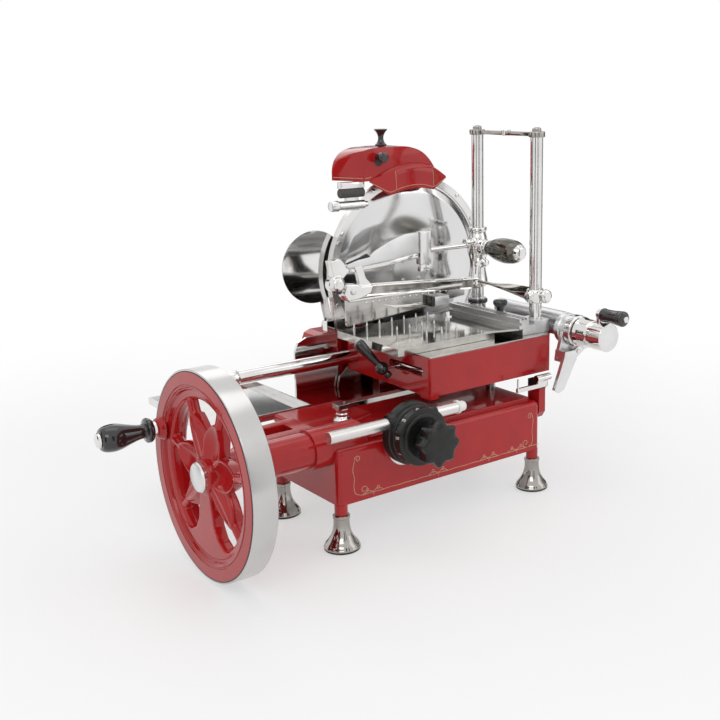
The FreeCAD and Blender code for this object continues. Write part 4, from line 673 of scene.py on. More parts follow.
def skirt_section(column):
    """A section of the visor: bottom and top heights at a place, and how far the visor stands out there."""
    x, bottom, top, out = column
    face = hood_face()
    proud = 9.7 * out
    height = top - bottom
    shape = [(0.35, 1.0), (-0.3, 0.93), (0.55, 0.6), (1.1, 0.3), (2.2, 0.14), (4.0, 0.045), (6.5, 0.0)]
    outer = [Vector((x, face - proud + back * out, top - height * fall)) for back, fall in reversed(shape)]
    outer = eased([(x, face + 1, top + 2.2 * out)] + outer, 3)
    inner = [Vector((x, face + 1.5, bottom + height * 0.6)), Vector((x, face - proud + 3.2, bottom + 1.0))]
    return outer + inner[::-1]


def skirt_place(column, share):
    """A point on the visor's front, a share of its height above its lower edge."""
    section = skirt_section(column)
    height = column[1] + (column[2] - column[1]) * share
    near = min(section[:-3], key=lambda point: abs(point.z - height))
    return Vector((near.x, near.y - 0.12, height))


def hood():
    """The domed hood with its cut corner, the visor in three facets, and the painted lines."""
    low, high = box("sharpener_hood")
    face = hood_face()
    bottom = high.z - 48
    corner = 23
    right = high.x - 22
    top = high.z - 0.3
    left_side = by_step(low.x, bottom, (0, 0), (0.5, 17), (6, 31), (19, 42))
    crown = by_step(low.x, top, (42, -0.6), (84, 0))
    crown += by_step(right, top, (-52, -1), (-30, -8), (-14, -21), (-3, -37))
    outline = smooth(left_side + crown + [(right, bottom)], 5)
    dome = slab("Y", outline, (face, high.y - 0.1))
    slope = Vector((-(high.y - face), -corner, 0)).normalized()
    spot = Vector((low.x + corner, face, 0))
    everything = list(dome.verts) + list(dome.edges) + list(dome.faces)
    cut = bmesh.ops.bisect_plane(dome, geom=everything, plane_co=spot, plane_no=slope, clear_outer=True)
    bmesh.ops.holes_fill(dome,
                         edges=[part for part in cut["geom_cut"] if isinstance(part, bmesh.types.BMEdge)])
    softened(dome, 2.2, 4, above=38)
    inner = [
        (min(max(x, low.x + corner + 5), right - 6), z - 5) for x, z in outline if z > bottom + 8
    ]
    inner = [(inner[0][0], bottom - 5)] + inner + [(inner[-1][0], bottom - 5)]
    dome = carved(dome, slab("Y", inner, (face + 4, high.y - 4)))
    piece("hood_dome", dome, RED, "frame", ("sharpener_hood",), sharp=40)

    shape = ((33, -2.5, 0.5, 0.16), (48, -13, 8, 0.58), (62, -21.6, 14, 0.90), (73, -19, 18, 1.0),
             (88, -15.5, 21, 1.0), (106, -13.4, 22.5, 1.0), (124, -14.4, 21.5, 1.0), (142, -18, 17.5, 1.0),
             (158, -10, 9.5, 0.60), (172, -2.5, 0.5, 0.16))
    columns = [(low.x + x, bottom + fall, bottom + rise, out) for x, fall, rise, out in shape]
    creases = (3, 7)
    for index, facet in enumerate((columns[:4], columns[3:8], columns[7:])):
        part = lofted([skirt_section(column) for column in facet])
        piece(f"hood_skirt_{index + 1}", part, RED, "frame", sharp=50)
    lines = [stripe(eased([skirt_place(column, 0.135) for column in columns], 4), FORWARD, 0.9, 0.3)]
    for index in creases:
        crease = [skirt_place(columns[index], share) for share in (0.16, 0.3, 0.45, 0.6, 0.75, 0.86)]
        lines.append(stripe(crease, FORWARD, 0.8, 0.3))
    along = Vector((-corner, high.y - face, 0))
    foot = Vector((low.x + corner, face, bottom + 4.5)) + slope * 0.05
    lines.append(stripe([foot + along * share for share in (0.03, 0.5, 0.95)], slope, 1.0, 0.3))
    front = [Vector((low.x + corner + reach, face - 0.05, bottom + 4.5 + rise)) for reach, rise in
             ((1.5, 0), (7, 0.2), (12, 1.5))]
    lines.append(stripe(front, FORWARD, 1.0, 0.3))
    piece("hood_lines", joined(*lines), CREAM, "frame")


def sharpener_knobs():
    """The lift knob on top, and the knob in front with its mouth in the hood, whose dark inside is a black
    piece of painted shade.
    """
    low, high = box("lift_knob")
    base = box("sharpener_hood")[1].z + 0.3
    shape = [(0, 0.72), (0.03, 0.84), (0.09, 0.86), (0.13, 0.76), (0.19, 0.60), (0.30, 0.47), (0.45, 0.40),
             (0.62, 0.46), (0.78, 0.66), (0.90, 0.92), (0.955, 1.0), (0.985, 0.93), (1.0, 0.55)]
    profile = [(low.z, 4), (base, 4)] + swelling(base, high.z - base, 10, shape, 4)
    knob = turned("Z", middle("lift_knob"), profile, 64)
    piece("lift_knob_skin", knob, BLACK, "sharpener_lift", ("lift_knob",), sharp=45)
    low, high = box("front_knob")
    spot = middle("front_knob")
    big = min(radius_of("front_knob"), 7.6)
    profile = by_share(low.y, big, (0, 0.55), (0.4, 0.84), (1.2, 0.95), (2.4, 1), (8.5, 1), (9.3, 0.92),
                       (10.2, 0.56))
    profile += [(high.y, big * 0.5)]
    piece("front_knob_skin", turned("Y", spot, profile, 64), BLACK, "sharpener_push", ("front_knob",),
          sharp=35)
    face = hood_face()
    hole = (spot.x + 2.0, spot.y, spot.z - 6.0)
    # a black piece behind the knob is painted shade inside the hood's mouth
    mouth = turned("Y", hole, by_share(face, big, (-0.28, 0.93), (0.4, 0.93)), 48)
    piece("hood_mouth", mouth, BLACK_INK_AND_PAINTED_SHADE, "frame")
    seat = by_share(face, big, (-0.25, 1.02), (-0.25, 1.12), (0.5, 1.12), (0.5, 1.02))
    lip = hoop("Y", hole, [(along, radius - big * 0.07) for along, radius in seat], 64)
    piece("hood_mouth_lip", lip, RED, "frame")


def sharpener_stone():
    low, high = box("stone_block")
    shelf = slab("X", rectangle((low.y + 2, high.z - 9), (high.y, high.z)), (low.x + 1, high.x))
    post = slab("X", rectangle((high.y - 5, low.z), (high.y, high.z - 5)), (low.x + 12, high.x - 6))
    piece("stone_bracket", softened(joined(shelf, post), 0.8, 2), RING, "frame", ("stone_block",))
    centre = (0, (low.y + high.y) / 2, high.z - 15.5)
    roller = by_step(low.x, 0, (0.5, 4), (0.5, 6.2), (1.2, 6.9))
    roller += by_step(high.x, 0, (-1.2, 6.9), (-0.5, 6.2), (-0.5, 4))
    piece("stone_roller", turned("X", centre, roller, 56), STONE, "frame")
    low, high = box("stone_spindle")
    profile = by_step(low.x, 0, (0, 5), (0.6, 7.0), (2, 7.8), (12, 7.8), (13, 6.6), (15, 6.4))
    profile += by_step(high.x, 0, (-6, 6.4), (-5, 4), (0, 4))
    spindle = turned("X", middle("stone_spindle"), profile, 56)
    piece("stone_spindle_skin", spindle, RING, "stone_turn", ("stone_spindle",))


# ---------------------------------------------------------------- blade side


def blade():
    """The ground blade, and its hub with four screws."""
    low, high = box("blade")
    outer = radius_of("blade")
    profile = by_share(low.y, outer, (0.9, 0), (0.9, 0.60), (0.1, 0.66), (0, 0.90), (0.5, 0.915))
    profile += by_step(high.y, outer, (-1.3, -0.3), (-1.0, 0), (-0.7, -0.3))
    profile += by_share(high.y, outer, (-0.4, 0.9), (0, 0.6), (0, 0))
    disc = turned("Y", BLADE_CENTRE, profile, 192)
    piece("blade_skin", disc, BLADE, "blade_set", ("blade",), sharp=20)
    front = box("blade_spindle")[0].y
    screws = 4
    screw_circle = 22
    bolts = [turned("Y", BLADE_CENTRE, by_step(front, 0, (-0.2, 0), (-0.2, 30), (0.3, 32), (1.4, 32)), 96)]
    for turn in range(screws):
        angle = math.tau * (turn + 0.5) / screws
        spot = (BLADE_CENTRE[0] + screw_circle * math.cos(angle), 0,
                BLADE_CENTRE[2] + screw_circle * math.sin(angle))
        bolts.append(turned("Y", spot, by_step(front, 0, (-1.4, 2.6), (-1.0, 3.4), (0, 3.6)), 24))
    piece("blade_hub", joined(*bolts), SATIN, "blade_set", slot="brushed")


def screws():
    """Screw heads of the ring guard."""
    heads = []
    reach = radius_of("ring_guard") - 4
    front = box("ring_screws")[0].y
    profile = [(front, 1.2), (front + 0.5, 2.9), (box("ring_guard")[0].y, 3.4)]
    for angle in (20, 50, 118, 152, 196, 231, 344):
        turn = math.radians(angle)
        spot = (BLADE_CENTRE[0] + reach * math.cos(turn), 0, BLADE_CENTRE[2] + reach * math.sin(turn))
        heads.append(turned("Y", spot, profile, 28))
    piece("ring_screw_heads", joined(*heads), CHROME, "frame")


def dish():
    """The slice deflector's shallow dish, and the strap to its pivot."""
    low, high = box("slice_deflector")
    radius = 53.0
    rise = 3.4
    centre = (low.x + radius, (low.y + high.y) / 2, high.z - radius)
    shares = [step / 12 for step in range(13)]
    front = [(low.y + 0.2 + rise * (1 - share * share), max(radius * share, 0.01)) for share in shares]
    back = [(low.y + 1.5 + rise * (1 - share * share), radius * share) for share in shares]
    profile = front + [(low.y + 0.7, radius)] + back[::-1]
    plate = turned("Y", centre, profile, 128)
    piece("deflector_dish", plate, MIRROR, "deflector", ("slice_deflector",), sharp=50)
    pivot = middle("deflector_pivot")
    start = Vector((centre[0] + 14, low.y + 2.6, centre[2] - radius + 9))
    end = Vector((pivot.x + 1, low.y + 1.6, pivot.z))
    ahead = (end - start).normalized()
    side = Vector((ahead.z, 0, -ahead.x)) * 6.5
    thick = Vector((0, 1.1, 0))
    steps = 8
    sections = []
    for step in range(steps + 1):
        place = start.lerp(end, step / steps)
        lift = Vector((0, 0.8 * math.sin(math.pi * step / steps), 0))
        sections.append([place - side - thick + lift, place + side - thick + lift,
                         place + side + thick + lift, place - side + thick + lift])
    piece("deflector_strap", softened(lofted(sections), 0.5, 2), CHROME, "deflector")


# ---------------------------------------------------------------- thickness dial


SEGMENTS = {
    "0": "abcdef", "1": "bc", "2": "abged", "3": "abgcd", "4": "fgbc", "5": "afgcd", "6": "afgedc",
    "7": "abc", "8": "abcdefg", "9": "abgfcd",
}
STROKES = {
    "a": ((0, 1), (1, 1)), "b": ((1, 1), (1, 0.5)), "c": ((1, 0.5), (1, 0)), "d": ((0, 0), (1, 0)),
    "e": ((0, 0.5), (0, 0)), "f": ((0, 1), (0, 0.5)), "g": ((0, 0.5), (1, 0.5)),
}


def figure(text, spot_of, size, weight):
    """Plain figures laid on a surface: spot_of gives a point and its outward direction from flat places."""
    marks = []
    for number, digit in enumerate(text):
        for stroke in SEGMENTS[digit]:
            start, end = STROKES[stroke]
            points = []
            for share in (0, 0.5, 1):
                across = (start[0] + (end[0] - start[0]) * share) * size[0] + number * size[0] * 1.6
                upward = (start[1] + (end[1] - start[1]) * share) * size[1]
                points.append(spot_of(across - size[0] * 0.8 * len(text) + size[0] * 0.3, upward))
            marks.append(stripe([point for point, out in points], points[1][1], weight, 0.12))
    return marks


def dial_case():
    """The dial's fixed case with the boss of the trip rod, the flange behind it, and the rod's white end."""
    low, high = box("dial_housing")
    rear = radius_of("dial_housing")
    wide = rear + 2.2
    profile = by_step(high.y, wide, (0, -1), (-0.8, 0)) + by_step(low.y, wide, (9.5, 0), (8.3, -0.5))
    profile += by_step(low.y, rear, (7.6, 0), (2.4, 0), (0.9, -0.6), (0, -2.4)) + [(low.y, 20)]
    body = turned("Y", middle("dial_ring"), profile[::-1], 128)
    rod_low, rod_high = box("trip_rod")
    rod = (0, (rod_low.y + rod_high.y) / 2, (rod_low.z + rod_high.z) / 2)
    sleeve = by_step(low.x, 0, (4, 8.6), (2.5, 11.5), (6, 12.5))
    sleeve += by_step(high.x, 0, (-6, 12.5), (-2.5, 11.5), (-4, 8.6))
    boss = turned("X", rod, sleeve, 48)
    piece("dial_case", joined(body, boss), DIAL_BLACK, "frame", ("dial_housing",))
    low, high = box("dial_flange")
    around = radius_of("dial_flange")
    plate = by_step(low.y, around, (0, -8), (0, -1.2), (1.2, 0)) + [(high.y, around)]
    plate = turned("Y", middle("dial_flange"), plate, 128)
    piece("dial_flange_skin", plate, SATIN, "frame", ("dial_flange",))
    low, high = box("trip_tip")
    profile = by_step(low.x, 0, (0, 8.6), (0.6, 9.2), (3.4, 9.2), (3.9, 6.6), (7.3, 7.0))
    profile += by_step(high.x, 0, (-3.5, 6.9), (-1.2, 6.0), (-0.2, 4.0), (0, 0.1))
    tip = turned("X", middle("trip_tip"), profile, 48)
    piece("trip_tip_skin", tip, NYLON, "trip", ("trip_tip",), sharp=60)


def dial_ring():
    """The turning ring with its ticks and the figures 0 to 9."""
    low, high = box("dial_ring")
    centre = middle("dial_ring")
    big = radius_of("dial_ring")
    skin = big + 0.02
    case_front = box("dial_housing")[0].y
    drum = [(high.y, big - 6)] + by_step(case_front, big, (-0.3, -6), (-0.3, -0.6), (-0.9, 0))
    drum += by_step(low.y, big, (4.6, 0), (4.0, -0.5), (3.2, -3.4), (2.8, -6.2), (2.0, -6.4), (0.9, -7.2),
                    (0.2, -9.0), (0, -12.0), (0.4, -14.0), (1.6, -15.5)) + [(low.y + 1.6, 8)]
    piece("dial_drum", turned("Y", centre, drum[::-1], 144), DIAL_BLACK, "dial", ("dial_ring",), sharp=28)
    marks = []
    tick_line = case_front - 1.2
    ticks = 40
    for step in range(ticks):
        if step % 4 == 0:
            continue
        angle = math.tau * step / ticks + math.radians(188)
        out = Vector((math.cos(angle), 0, math.sin(angle)))
        base = Vector((centre[0], 0, centre[2])) + out * skin
        marks.append(stripe([base + Vector((0, tick_line - reach, 0)) for reach in (0.4, 1.3)], out,
                            0.45, 0.1))
    for number in range(10):
        angle = math.radians(172 - 36 * (number - 2))

        def spot_of(across, upward, angle=angle):
            turn = angle - across / big
            out = Vector((math.cos(turn), 0, math.sin(turn)))
            return Vector((centre[0], low.y + 4.8 + 7.2 - upward, centre[2])) + out * skin, out

        marks += figure(str(number), spot_of, (3.0, 5.4), 0.85)
    piece("dial_figures", joined(*marks), WHITE_INK, "dial")


def dial_knob():
    low, high = box("dial_knob")
    reach = radius_of("dial_knob")
    run = high.y - low.y
    lobes = 8

    def lobed(angle, along):
        depth = min(max((high.y - 5 - along) / 6, 0), 1)
        wave = abs(math.sin(angle * lobes / 2 + 0.35))
        return 1 - 0.17 * depth * wave ** 1.4

    knob = [(low.y, 0.05)]
    knob += by_share(low.y, reach, (0.02, 0.5), (0.4, 0.80), (1.2, 0.93), (2.8, 0.985), (5, 1),
                     (run * 0.52, 0.965), (run * 0.60, 0.86), (run * 0.64, 0.64), (run * 0.72, 0.50))
    knob += [(high.y, reach * 0.52)]
    body = turned("Y", middle("dial_knob"), knob, 192, lobed)
    piece("dial_knob_skin", body, DIAL_BLACK, "dial", ("dial_knob",), sharp=40)


# ---------------------------------------------------------------- posts, bar and table fittings


def post_bar():
    """The bar over the posts: a disc and a nut at each post, two rails with a web, and a boss half way."""
    low, high = box("post_bar")
    radius = (high.x - low.x) / 2
    x = (low.x + high.x) / 2
    ends = post_lines()[1:]
    top = high.z - 6
    disc = by_share(low.z, radius, (0, 0.94), (0.7, 1)) + by_share(top, radius, (-0.8, 1), (0, 0.93))
    disc += by_step(top, 0, (0.1, 6.4), (1.2, 6.6), (4.2, 6.4)) + by_step(high.z, 0, (-0.6, 4.6), (0, 2.0))
    parts = [turned("Z", (x, y, 0), disc, 56) for y in ends]
    half = 4.4
    for side in (-1, 1):
        start, end = sorted((x + side * half - 1.2, x + side * half + 1.2))
        parts.append(brick((start, ends[0], low.z + 1.2), (end, ends[1], top - 1.2)))
    parts.append(brick((x - half, ends[0], low.z + 2.6), (x + half, ends[1], low.z + 4.6)))
    piece("post_bar_skin", softened(joined(*parts), 0.35, 2), DARK_CHROME_AND_PAINTED_REFLECTION, "table", ("post_bar",))
    boss = by_step(low.z, 0, (0.3, 5.5), (1, 6.6)) + by_step(top, 0, (0.2, 6.6), (1.2, 5.6), (1.4, 0.1))
    piece("post_bar_boss", turned("Z", (x, sum(ends) / 2, 0), boss, 48), CHROME, "table")


def table_fittings():
    """The knurled ring round the rear post, the mushroom knob, and their bright sleeves."""
    low, high = box("table_knobs")
    x, _, rear_y = post_lines()
    ring = 15.2
    teeth = 60
    loop = by_step(low.z, 0, (0.3, 9.4), (0.3, ring - 0.8), (1.0, ring), (6.0, ring), (6.6, ring - 0.8),
                   (6.6, 9.4))
    knurl = hoop("Z", (x, rear_y, 0), loop, 2 * teeth)
    for vert in knurl.verts:
        out = Vector((vert.co.x - x, vert.co.y - rear_y, 0))
        if out.length > ring - 0.3:
            turn = math.atan2(out.y, out.x)
            vert.co -= out.normalized() * 0.35 * (0.5 + 0.5 * math.cos(turn * teeth))
    spot = (low.x + 11, low.y + 11, 0)
    base = high.z - 19
    cap = by_step(base, 0, (0.2, 5.0), (2, 5.2), (6, 6.0), (9, 8.2), (11, 10.2), (13, 10.9), (16.0, 10.7),
                  (18.0, 9.4), (18.9, 5.0), (19, 0.1))
    knobs = joined(knurl, turned("Z", spot, cap, 56))
    piece("table_knob_skins", knobs, BLACK, "table", ("table_knobs",), sharp=50)
    ferrule = by_step(base, 0, (-8.5, 7.6), (-8, 8.2), (-4, 8.2), (-3, 7.2), (-0.3, 7.0))
    sleeve = by_step(box("table_slide")[0].z, 0, (14, 12.4), (30, 12.4), (30.8, 11.8), (30.8, 9.5))
    parts = joined(turned("Z", spot, ferrule, 56), turned("Z", (x, rear_y, 0), sleeve, 56))
    piece("table_ferrules", parts, CHROME, "table")


# ---------------------------------------------------------------- clamp


def clamp_castings():
    """The collars on both posts with their bosses, bored for the posts."""
    low, high = box("clamp_frame")
    x, front_y, rear_y = post_lines()
    lock = middle("lock_handle")
    profile = by_step(low.z, 0, (6, 13.5), (12, 16.0), (20, 14.5), (34, 11.8), (48, 12.2), (60, 15.6),
                      (72, 16.8), (84, 15.0)) + by_step(high.z, 0, (-12, 13.0), (-8, 14.8), (-4, 14.6))
    sleeve = turned("Z", (x, rear_y, 0), smooth(profile, 4), 72,
                    lambda angle, along: 1 + 0.05 * math.sin(2 * angle + along / 14))
    boss = by_step(rear_y, 0, (-21, 9.5), (-20, 11.5), (-14, 12.0), (-8, 14.0), (0, 13.0))
    lug = by_step(x, 0, (-30, 5.0), (-29, 6.6), (-22, 6.8), (-20, 5.2), (-8, 7.5))
    ear = by_step(rear_y, 0, (-19, 3.4), (-18, 5.6), (-10, 6.2), (0, 7))
    collar = joined(
        sleeve, turned("Y", (x, 0, lock.z), boss, 56),
        turned("X", (0, rear_y - CLAMP_ARM_OFFSET, lock.z + 8), lug, 40),
        turned("Y", (x + 3, 0, low.z + 44), ear, 40))
    front = smooth(by_step(low.z, 0, (0, 12.4), (3, 13.4), (10, 14.2), (17, 13.4), (20, 12.0)), 4)
    screw = by_step(x, 0, (-17.5, 3), (-17, 6.4), (-15, 7.8), (-9, 8.6))
    knob_boss = by_step(front_y, 0, (-13.8, 6.2), (-8, 7.4), (0, 7.4))
    whole = joined(
        collar, turned("Z", (x, front_y, 0), front, 64), turned("X", (0, front_y, low.z + 10), screw, 40),
        turned("Y", (x, 0, middle("side_knob").z), knob_boss, 40))
    skin = fused("clamp_castings", whole, 1.1, 4)
    bores = [turned("Z", (x, y, 0), [(low.z - 2, 9.45), (high.z + 2, 9.45)], 64) for y in (rear_y, front_y)]
    piece("clamp_castings", carved(skin, *bores), CHROME, "clamp", ("clamp_frame",), sharp=60)


def clamp_strap():
    """The flat twisted strap from collar to collar."""
    low = box("clamp_frame")[0]
    x, front_y, rear_y = post_lines()
    strap = []
    steps = 22
    for step in range(steps + 1):
        share = step / steps
        y = rear_y + (front_y - rear_y) * share
        z = low.z + 13 - 3 * share + 2.5 * math.sin(math.pi * share)
        twist = min(max(share * 1.3 - 0.15, 0), 1)
        lean = math.radians(-18 + 62 * (0.5 - 0.5 * math.cos(math.pi * twist)))
        half = 11.5 - 3.5 * math.sin(math.pi * share)
        across = Vector((math.cos(lean), 0, math.sin(lean))) * half
        thick = Vector((-math.sin(lean), 0, math.cos(lean))) * 2.2
        place = Vector((x, y, z))
        strap.append([place - across - thick, place + across - thick, place + across + thick,
                      place - across + thick])
    piece("clamp_strap", softened(lofted(strap), 0.9, 3), DARK_CHROME_AND_PAINTED_REFLECTION, "clamp", sharp=60)


def clamp_lower_arm():
    """The polished channel under the clamp, and a dark sheet in its hollow front that is painted shade, with
    lighter streaks of painted reflection.
    """
    low = box("clamp_frame")[0]
    x, _, rear_y = post_lines()
    arm_y = rear_y - CLAMP_ARM_OFFSET
    right = x - 8
    left = low.x + 48
    steps = 24
    sections = []
    for step in range(steps + 1):
        share = step / steps
        place = left + (right - left) * share
        top = low.z + 35 - 14 * share
        bottom = low.z + 20 - 15 * share
        face = arm_y - 7.5 + 1.5 * math.sin(math.pi * share)
        back = arm_y + 3.5
        height = top - bottom
        section = [(face - 0.6, bottom)] + [(face + out, bottom + height * rise) for out, rise in (
            (1.2, 0.18), (2.4, 0.4), (2.2, 0.62), (0.8, 0.84))]
        section += by_step(face, top, (-1.0, -1.0), (-0.6, 0), (1.6, 0), (2.4, -2))
        section += by_step(back, top, (-2.6, -2.4), (-2.2, 1.5), (0, 1.5)) + [(back, bottom)]
        sections.append([Vector((place, y, z)) for y, z in section])
    piece("clamp_lower_arm", lofted(sections), CHROME, "clamp", sharp=45)
    # a sheet in the channel's hollow, dark with lighter streaks: painted shade and painted reflection
    channel = []
    for section in sections[1:-1]:
        bottom, top = section[0].z + 2.2, section[5].z - 1.2
        face = section[1].y - 0.5
        channel.append([Vector((section[0].x, y, z)) for y, z in (
            (face, bottom), (face + 0.9, (bottom + top) / 2), (face, top), (face + 3, top),
            (face + 3, bottom))])
    piece("clamp_arm_channel_painted_shade", lofted(channel), CHROME_WITH_PAINTED_REFLECTION_AND_SHADE, "clamp", sharp=45)


def clamp_upper_arm():
    """The satin tapered cover with its ledge, slot and end bar; the slot is a black piece of painted shade."""
    low, high = box("clamp_frame")
    x, _, rear_y = post_lines()
    arm_y = rear_y - CLAMP_ARM_OFFSET
    outline = by_step(low.x, low.z, (23, 68), (43, 73), (62, 75), (72, 82), (98, 94), (125, 102),
                      (150, 102.6), (150, 72), (106, 67), (50, 62), (25, 62))
    cover = softened(slab("Y", outline, (arm_y - 9, arm_y - 4)), 1.6, 3)
    piece("clamp_upper_arm", cover, SATIN, "clamp", sharp=45)
    outline = by_step(low.x, low.z, (30, 61), (106, 66), (150, 71), (150, 64), (106, 60), (34, 55))
    ledge = softened(slab("Y", outline, (arm_y - 7, arm_y + 5)), 0.8, 2)
    bar = softened(brick((low.x + 152, arm_y - 10, low.z + 54), (low.x + 172, arm_y + 2, high.z - 0.3)),
                   1.2, 3)
    heel = softened(brick((low.x + 154, arm_y - 7, low.z + 43), (low.x + 170, arm_y + 1, low.z + 55)),
                    1.0, 2)
    tie = by_step(low.x, 0, (170, 3.6), (172, 4.4), (176, 4.0)) + [(x - 20, 4.0)]
    tie = turned("X", (0, arm_y, middle("lock_handle").z + 4), tie, 28)
    piece("clamp_end_bar", joined(bar, tie), RING, "clamp", slot="chrome", sharp=40)
    piece("clamp_ledge", joined(ledge, heel), CHROME, "clamp", sharp=40)
    # the slot: a black piece that is painted shade
    outline = by_step(low.x, low.z, (24, 68.6), (44, 73.6), (64, 75.8), (58, 80), (48, 76), (25, 70))
    piece("clamp_slot", slab("Y", outline, (arm_y - 8.6, arm_y - 5)), BLACK_INK_AND_PAINTED_SHADE, "clamp")


def clamp_pivot():
    """The pivot lug: a web with a knuckle, an eye and a screw."""
    low = box("clamp_frame")[0]
    arm_y = post_lines()[2] - CLAMP_ARM_OFFSET
    plate = by_step(low.x, low.z, (22, 40), (41, 38), (46, 35), (66, 34), (62, 24), (44, 18), (23, 16),
                    (16, 26))
    strut = by_step(low.x, low.z, (36, 63), (49, 65), (55, 46), (66, 34), (44, 36), (41, 50))
    sheath = by_step(low.x, low.z, (-1, 74), (16, 76), (26, 66), (30, 58), (16, 46), (4, 50))
    knuckle = by_step(arm_y, 0, (-14, 6), (-12, 9.5), (-4, 12.5), (8, 12.0), (10, 9))
    rib = [(low.x + 10, arm_y - 6, low.z + 42), (low.x + 22, arm_y - 6, low.z + 36),
           (low.x + 32, arm_y - 5, low.z + 28)]
    whole = joined(
        slab("Y", plate, (arm_y - 12, arm_y + 6)), slab("Y", strut, (arm_y - 10, arm_y - 2)),
        slab("Y", sheath, (arm_y - 6, arm_y + 9)), turned("Y", (low.x + 9, 0, low.z + 41), knuckle, 48),
        pipe(rib, 5.5, 20))
    piece("clamp_pivot_lug", fused("clamp_lug", whole, 0.8, 3), CHROME, "clamp", sharp=60)
    screw = by_step(arm_y, 0, (-14.4, 2), (-14.0, 3.8), (-13, 4.3), (-11, 4.3))
    screw = turned("Y", (low.x + 31, 0, low.z + 29), screw, 32)
    piece("clamp_lug_screw", screw, SATIN, "clamp", slot="chrome")
    # the lug's hole: a black piece that is painted shade
    hole = turned("Y", (low.x + 8, 0, low.z + 33), by_step(arm_y, 0, (-12.6, 4.6), (-10.0, 4.6)), 32)
    piece("clamp_lug_hole", hole, BLACK_INK_AND_PAINTED_SHADE, "clamp")


def press():
    """The toothed press plate with its rail, rivets, rib and block."""
    low, high = box("press_plate")
    front, back = low.y, high.y
    end = low.x + 150
    count = 48
    step = (end - low.x) / count
    points = [(high.x, high.z), (high.x, high.z - 20), (end + 2, high.z - 26)]
    for index in range(count):
        place = end - (end - low.x) * index / count
        level = low.z + 12 * (1 - index / count) ** 1.2
        points += [(place, level + 2.2), (place - step * 0.5, level + 0.1)]
    points += [(low.x, low.z + 3), (low.x, high.z)]
    piece("press_skin", slab("Y", points, (front, back)), TABLE_STEEL, "clamp", ("press_plate",))
    rivet = by_step(front, 0, (-1.3, 0.6), (-0.9, 1.7), (0, 2.1))
    rivets = [turned("Y", (low.x + 34 + 11.2 * index, 0, high.z - 8.5), rivet, 16) for index in range(16)]
    rail = softened(brick((low.x + 4, front - 3.5, high.z - 4.5),
                          (high.x - 6, front + 0.5, high.z - 0.4)), 0.8, 2)
    piece("press_rivets", joined(rail, *rivets), CHROME, "clamp")
    curve = by_step(low.x, high.z, (60, -14), (84, -19), (112, -21), (148, -20), (148, -23),
                    (112, -24.5), (84, -22.5))
    piece("press_rib", softened(slab("Y", curve, (front - 1.6, front + 0.3)), 0.6, 2), CHROME, "clamp")
    block = softened(brick((end - 1, front - 13, high.z - 27), (end + 26, front + 2, high.z - 13)), 1.0, 2)
    piece("press_block", block, SATIN, "clamp")
    dark = softened(brick((end - 6, front - 12, high.z - 28), (end - 1.2, front + 1, high.z - 12)), 0.8, 2)
    piece("press_block_end", dark, BLACK, "clamp")


def clamp_knobs():
    """The faceted lock handle with its bright ends, and the knob at the front collar."""
    low, high = box("lock_handle")
    spot = middle("lock_handle")
    big = radius_of("lock_handle")
    start = low.y + 4
    run = 76
    shape = [(-0.05, 0.20), (-0.035, 0.42), (0.0, 0.52), (0.02, 0.60), (0.06, 0.74), (0.16, 0.90),
             (0.30, 0.985), (0.42, 1.0), (0.56, 0.95), (0.70, 0.84), (0.82, 0.68),
             (0.90, 0.54), (0.94, 0.46), (1.0, 0.44)]

    def facets(angle, along):
        share = (along - start) / run
        depth = 0.035 * math.sin(math.pi * min(max(share, 0), 1))
        return 1 - depth * (1 - abs(math.cos(angle * 3.5)))

    barrel = turned("Y", spot, swelling(start, run, big, shape, 5), 84, facets)
    piece("lock_barrel", barrel, OLIVE, "clamp_lock", ("lock_handle",), sharp=60)
    cap = [(low.y - 0.2, 0.1)] + by_share(low.y, big, (0, 0.26), (0.8, 0.44), (3.2, 0.56), (6, 0.66),
                                          (7, 0.62))
    neck = by_share(start, big, (run * 0.93, 0.56), (run * 0.95, 0.60), (run * 0.99, 0.58), (run, 0.40))
    neck += [(high.y - 12, 3.9)]
    nub = by_step(low.z, 0, (0.2, 2.0), (1.0, 3.4), (4, 3.6))
    trim = joined(turned("Y", spot, cap, 48), turned("Y", spot, neck, 48),
                  turned("Z", (spot.x, start + run * 0.55, 0), nub, 24))
    piece("lock_trim", trim, CHROME, "clamp_lock")
    low, high = box("side_knob")
    profile = by_share(low.y, radius_of("side_knob", "x"), (0, 0.6), (0.6, 0.86), (1.6, 0.96), (3, 1),
                       (6.6, 1), (8.2, 0.82), (9.2, 0.4)) + [(high.y, 3.0)]
    knob = turned("Y", middle("side_knob"), profile, 56)
    piece("side_knob_skin", knob, CHROME, "clamp_side_knob", ("side_knob",), sharp=35)


# ---------------------------------------------------------------- table feed


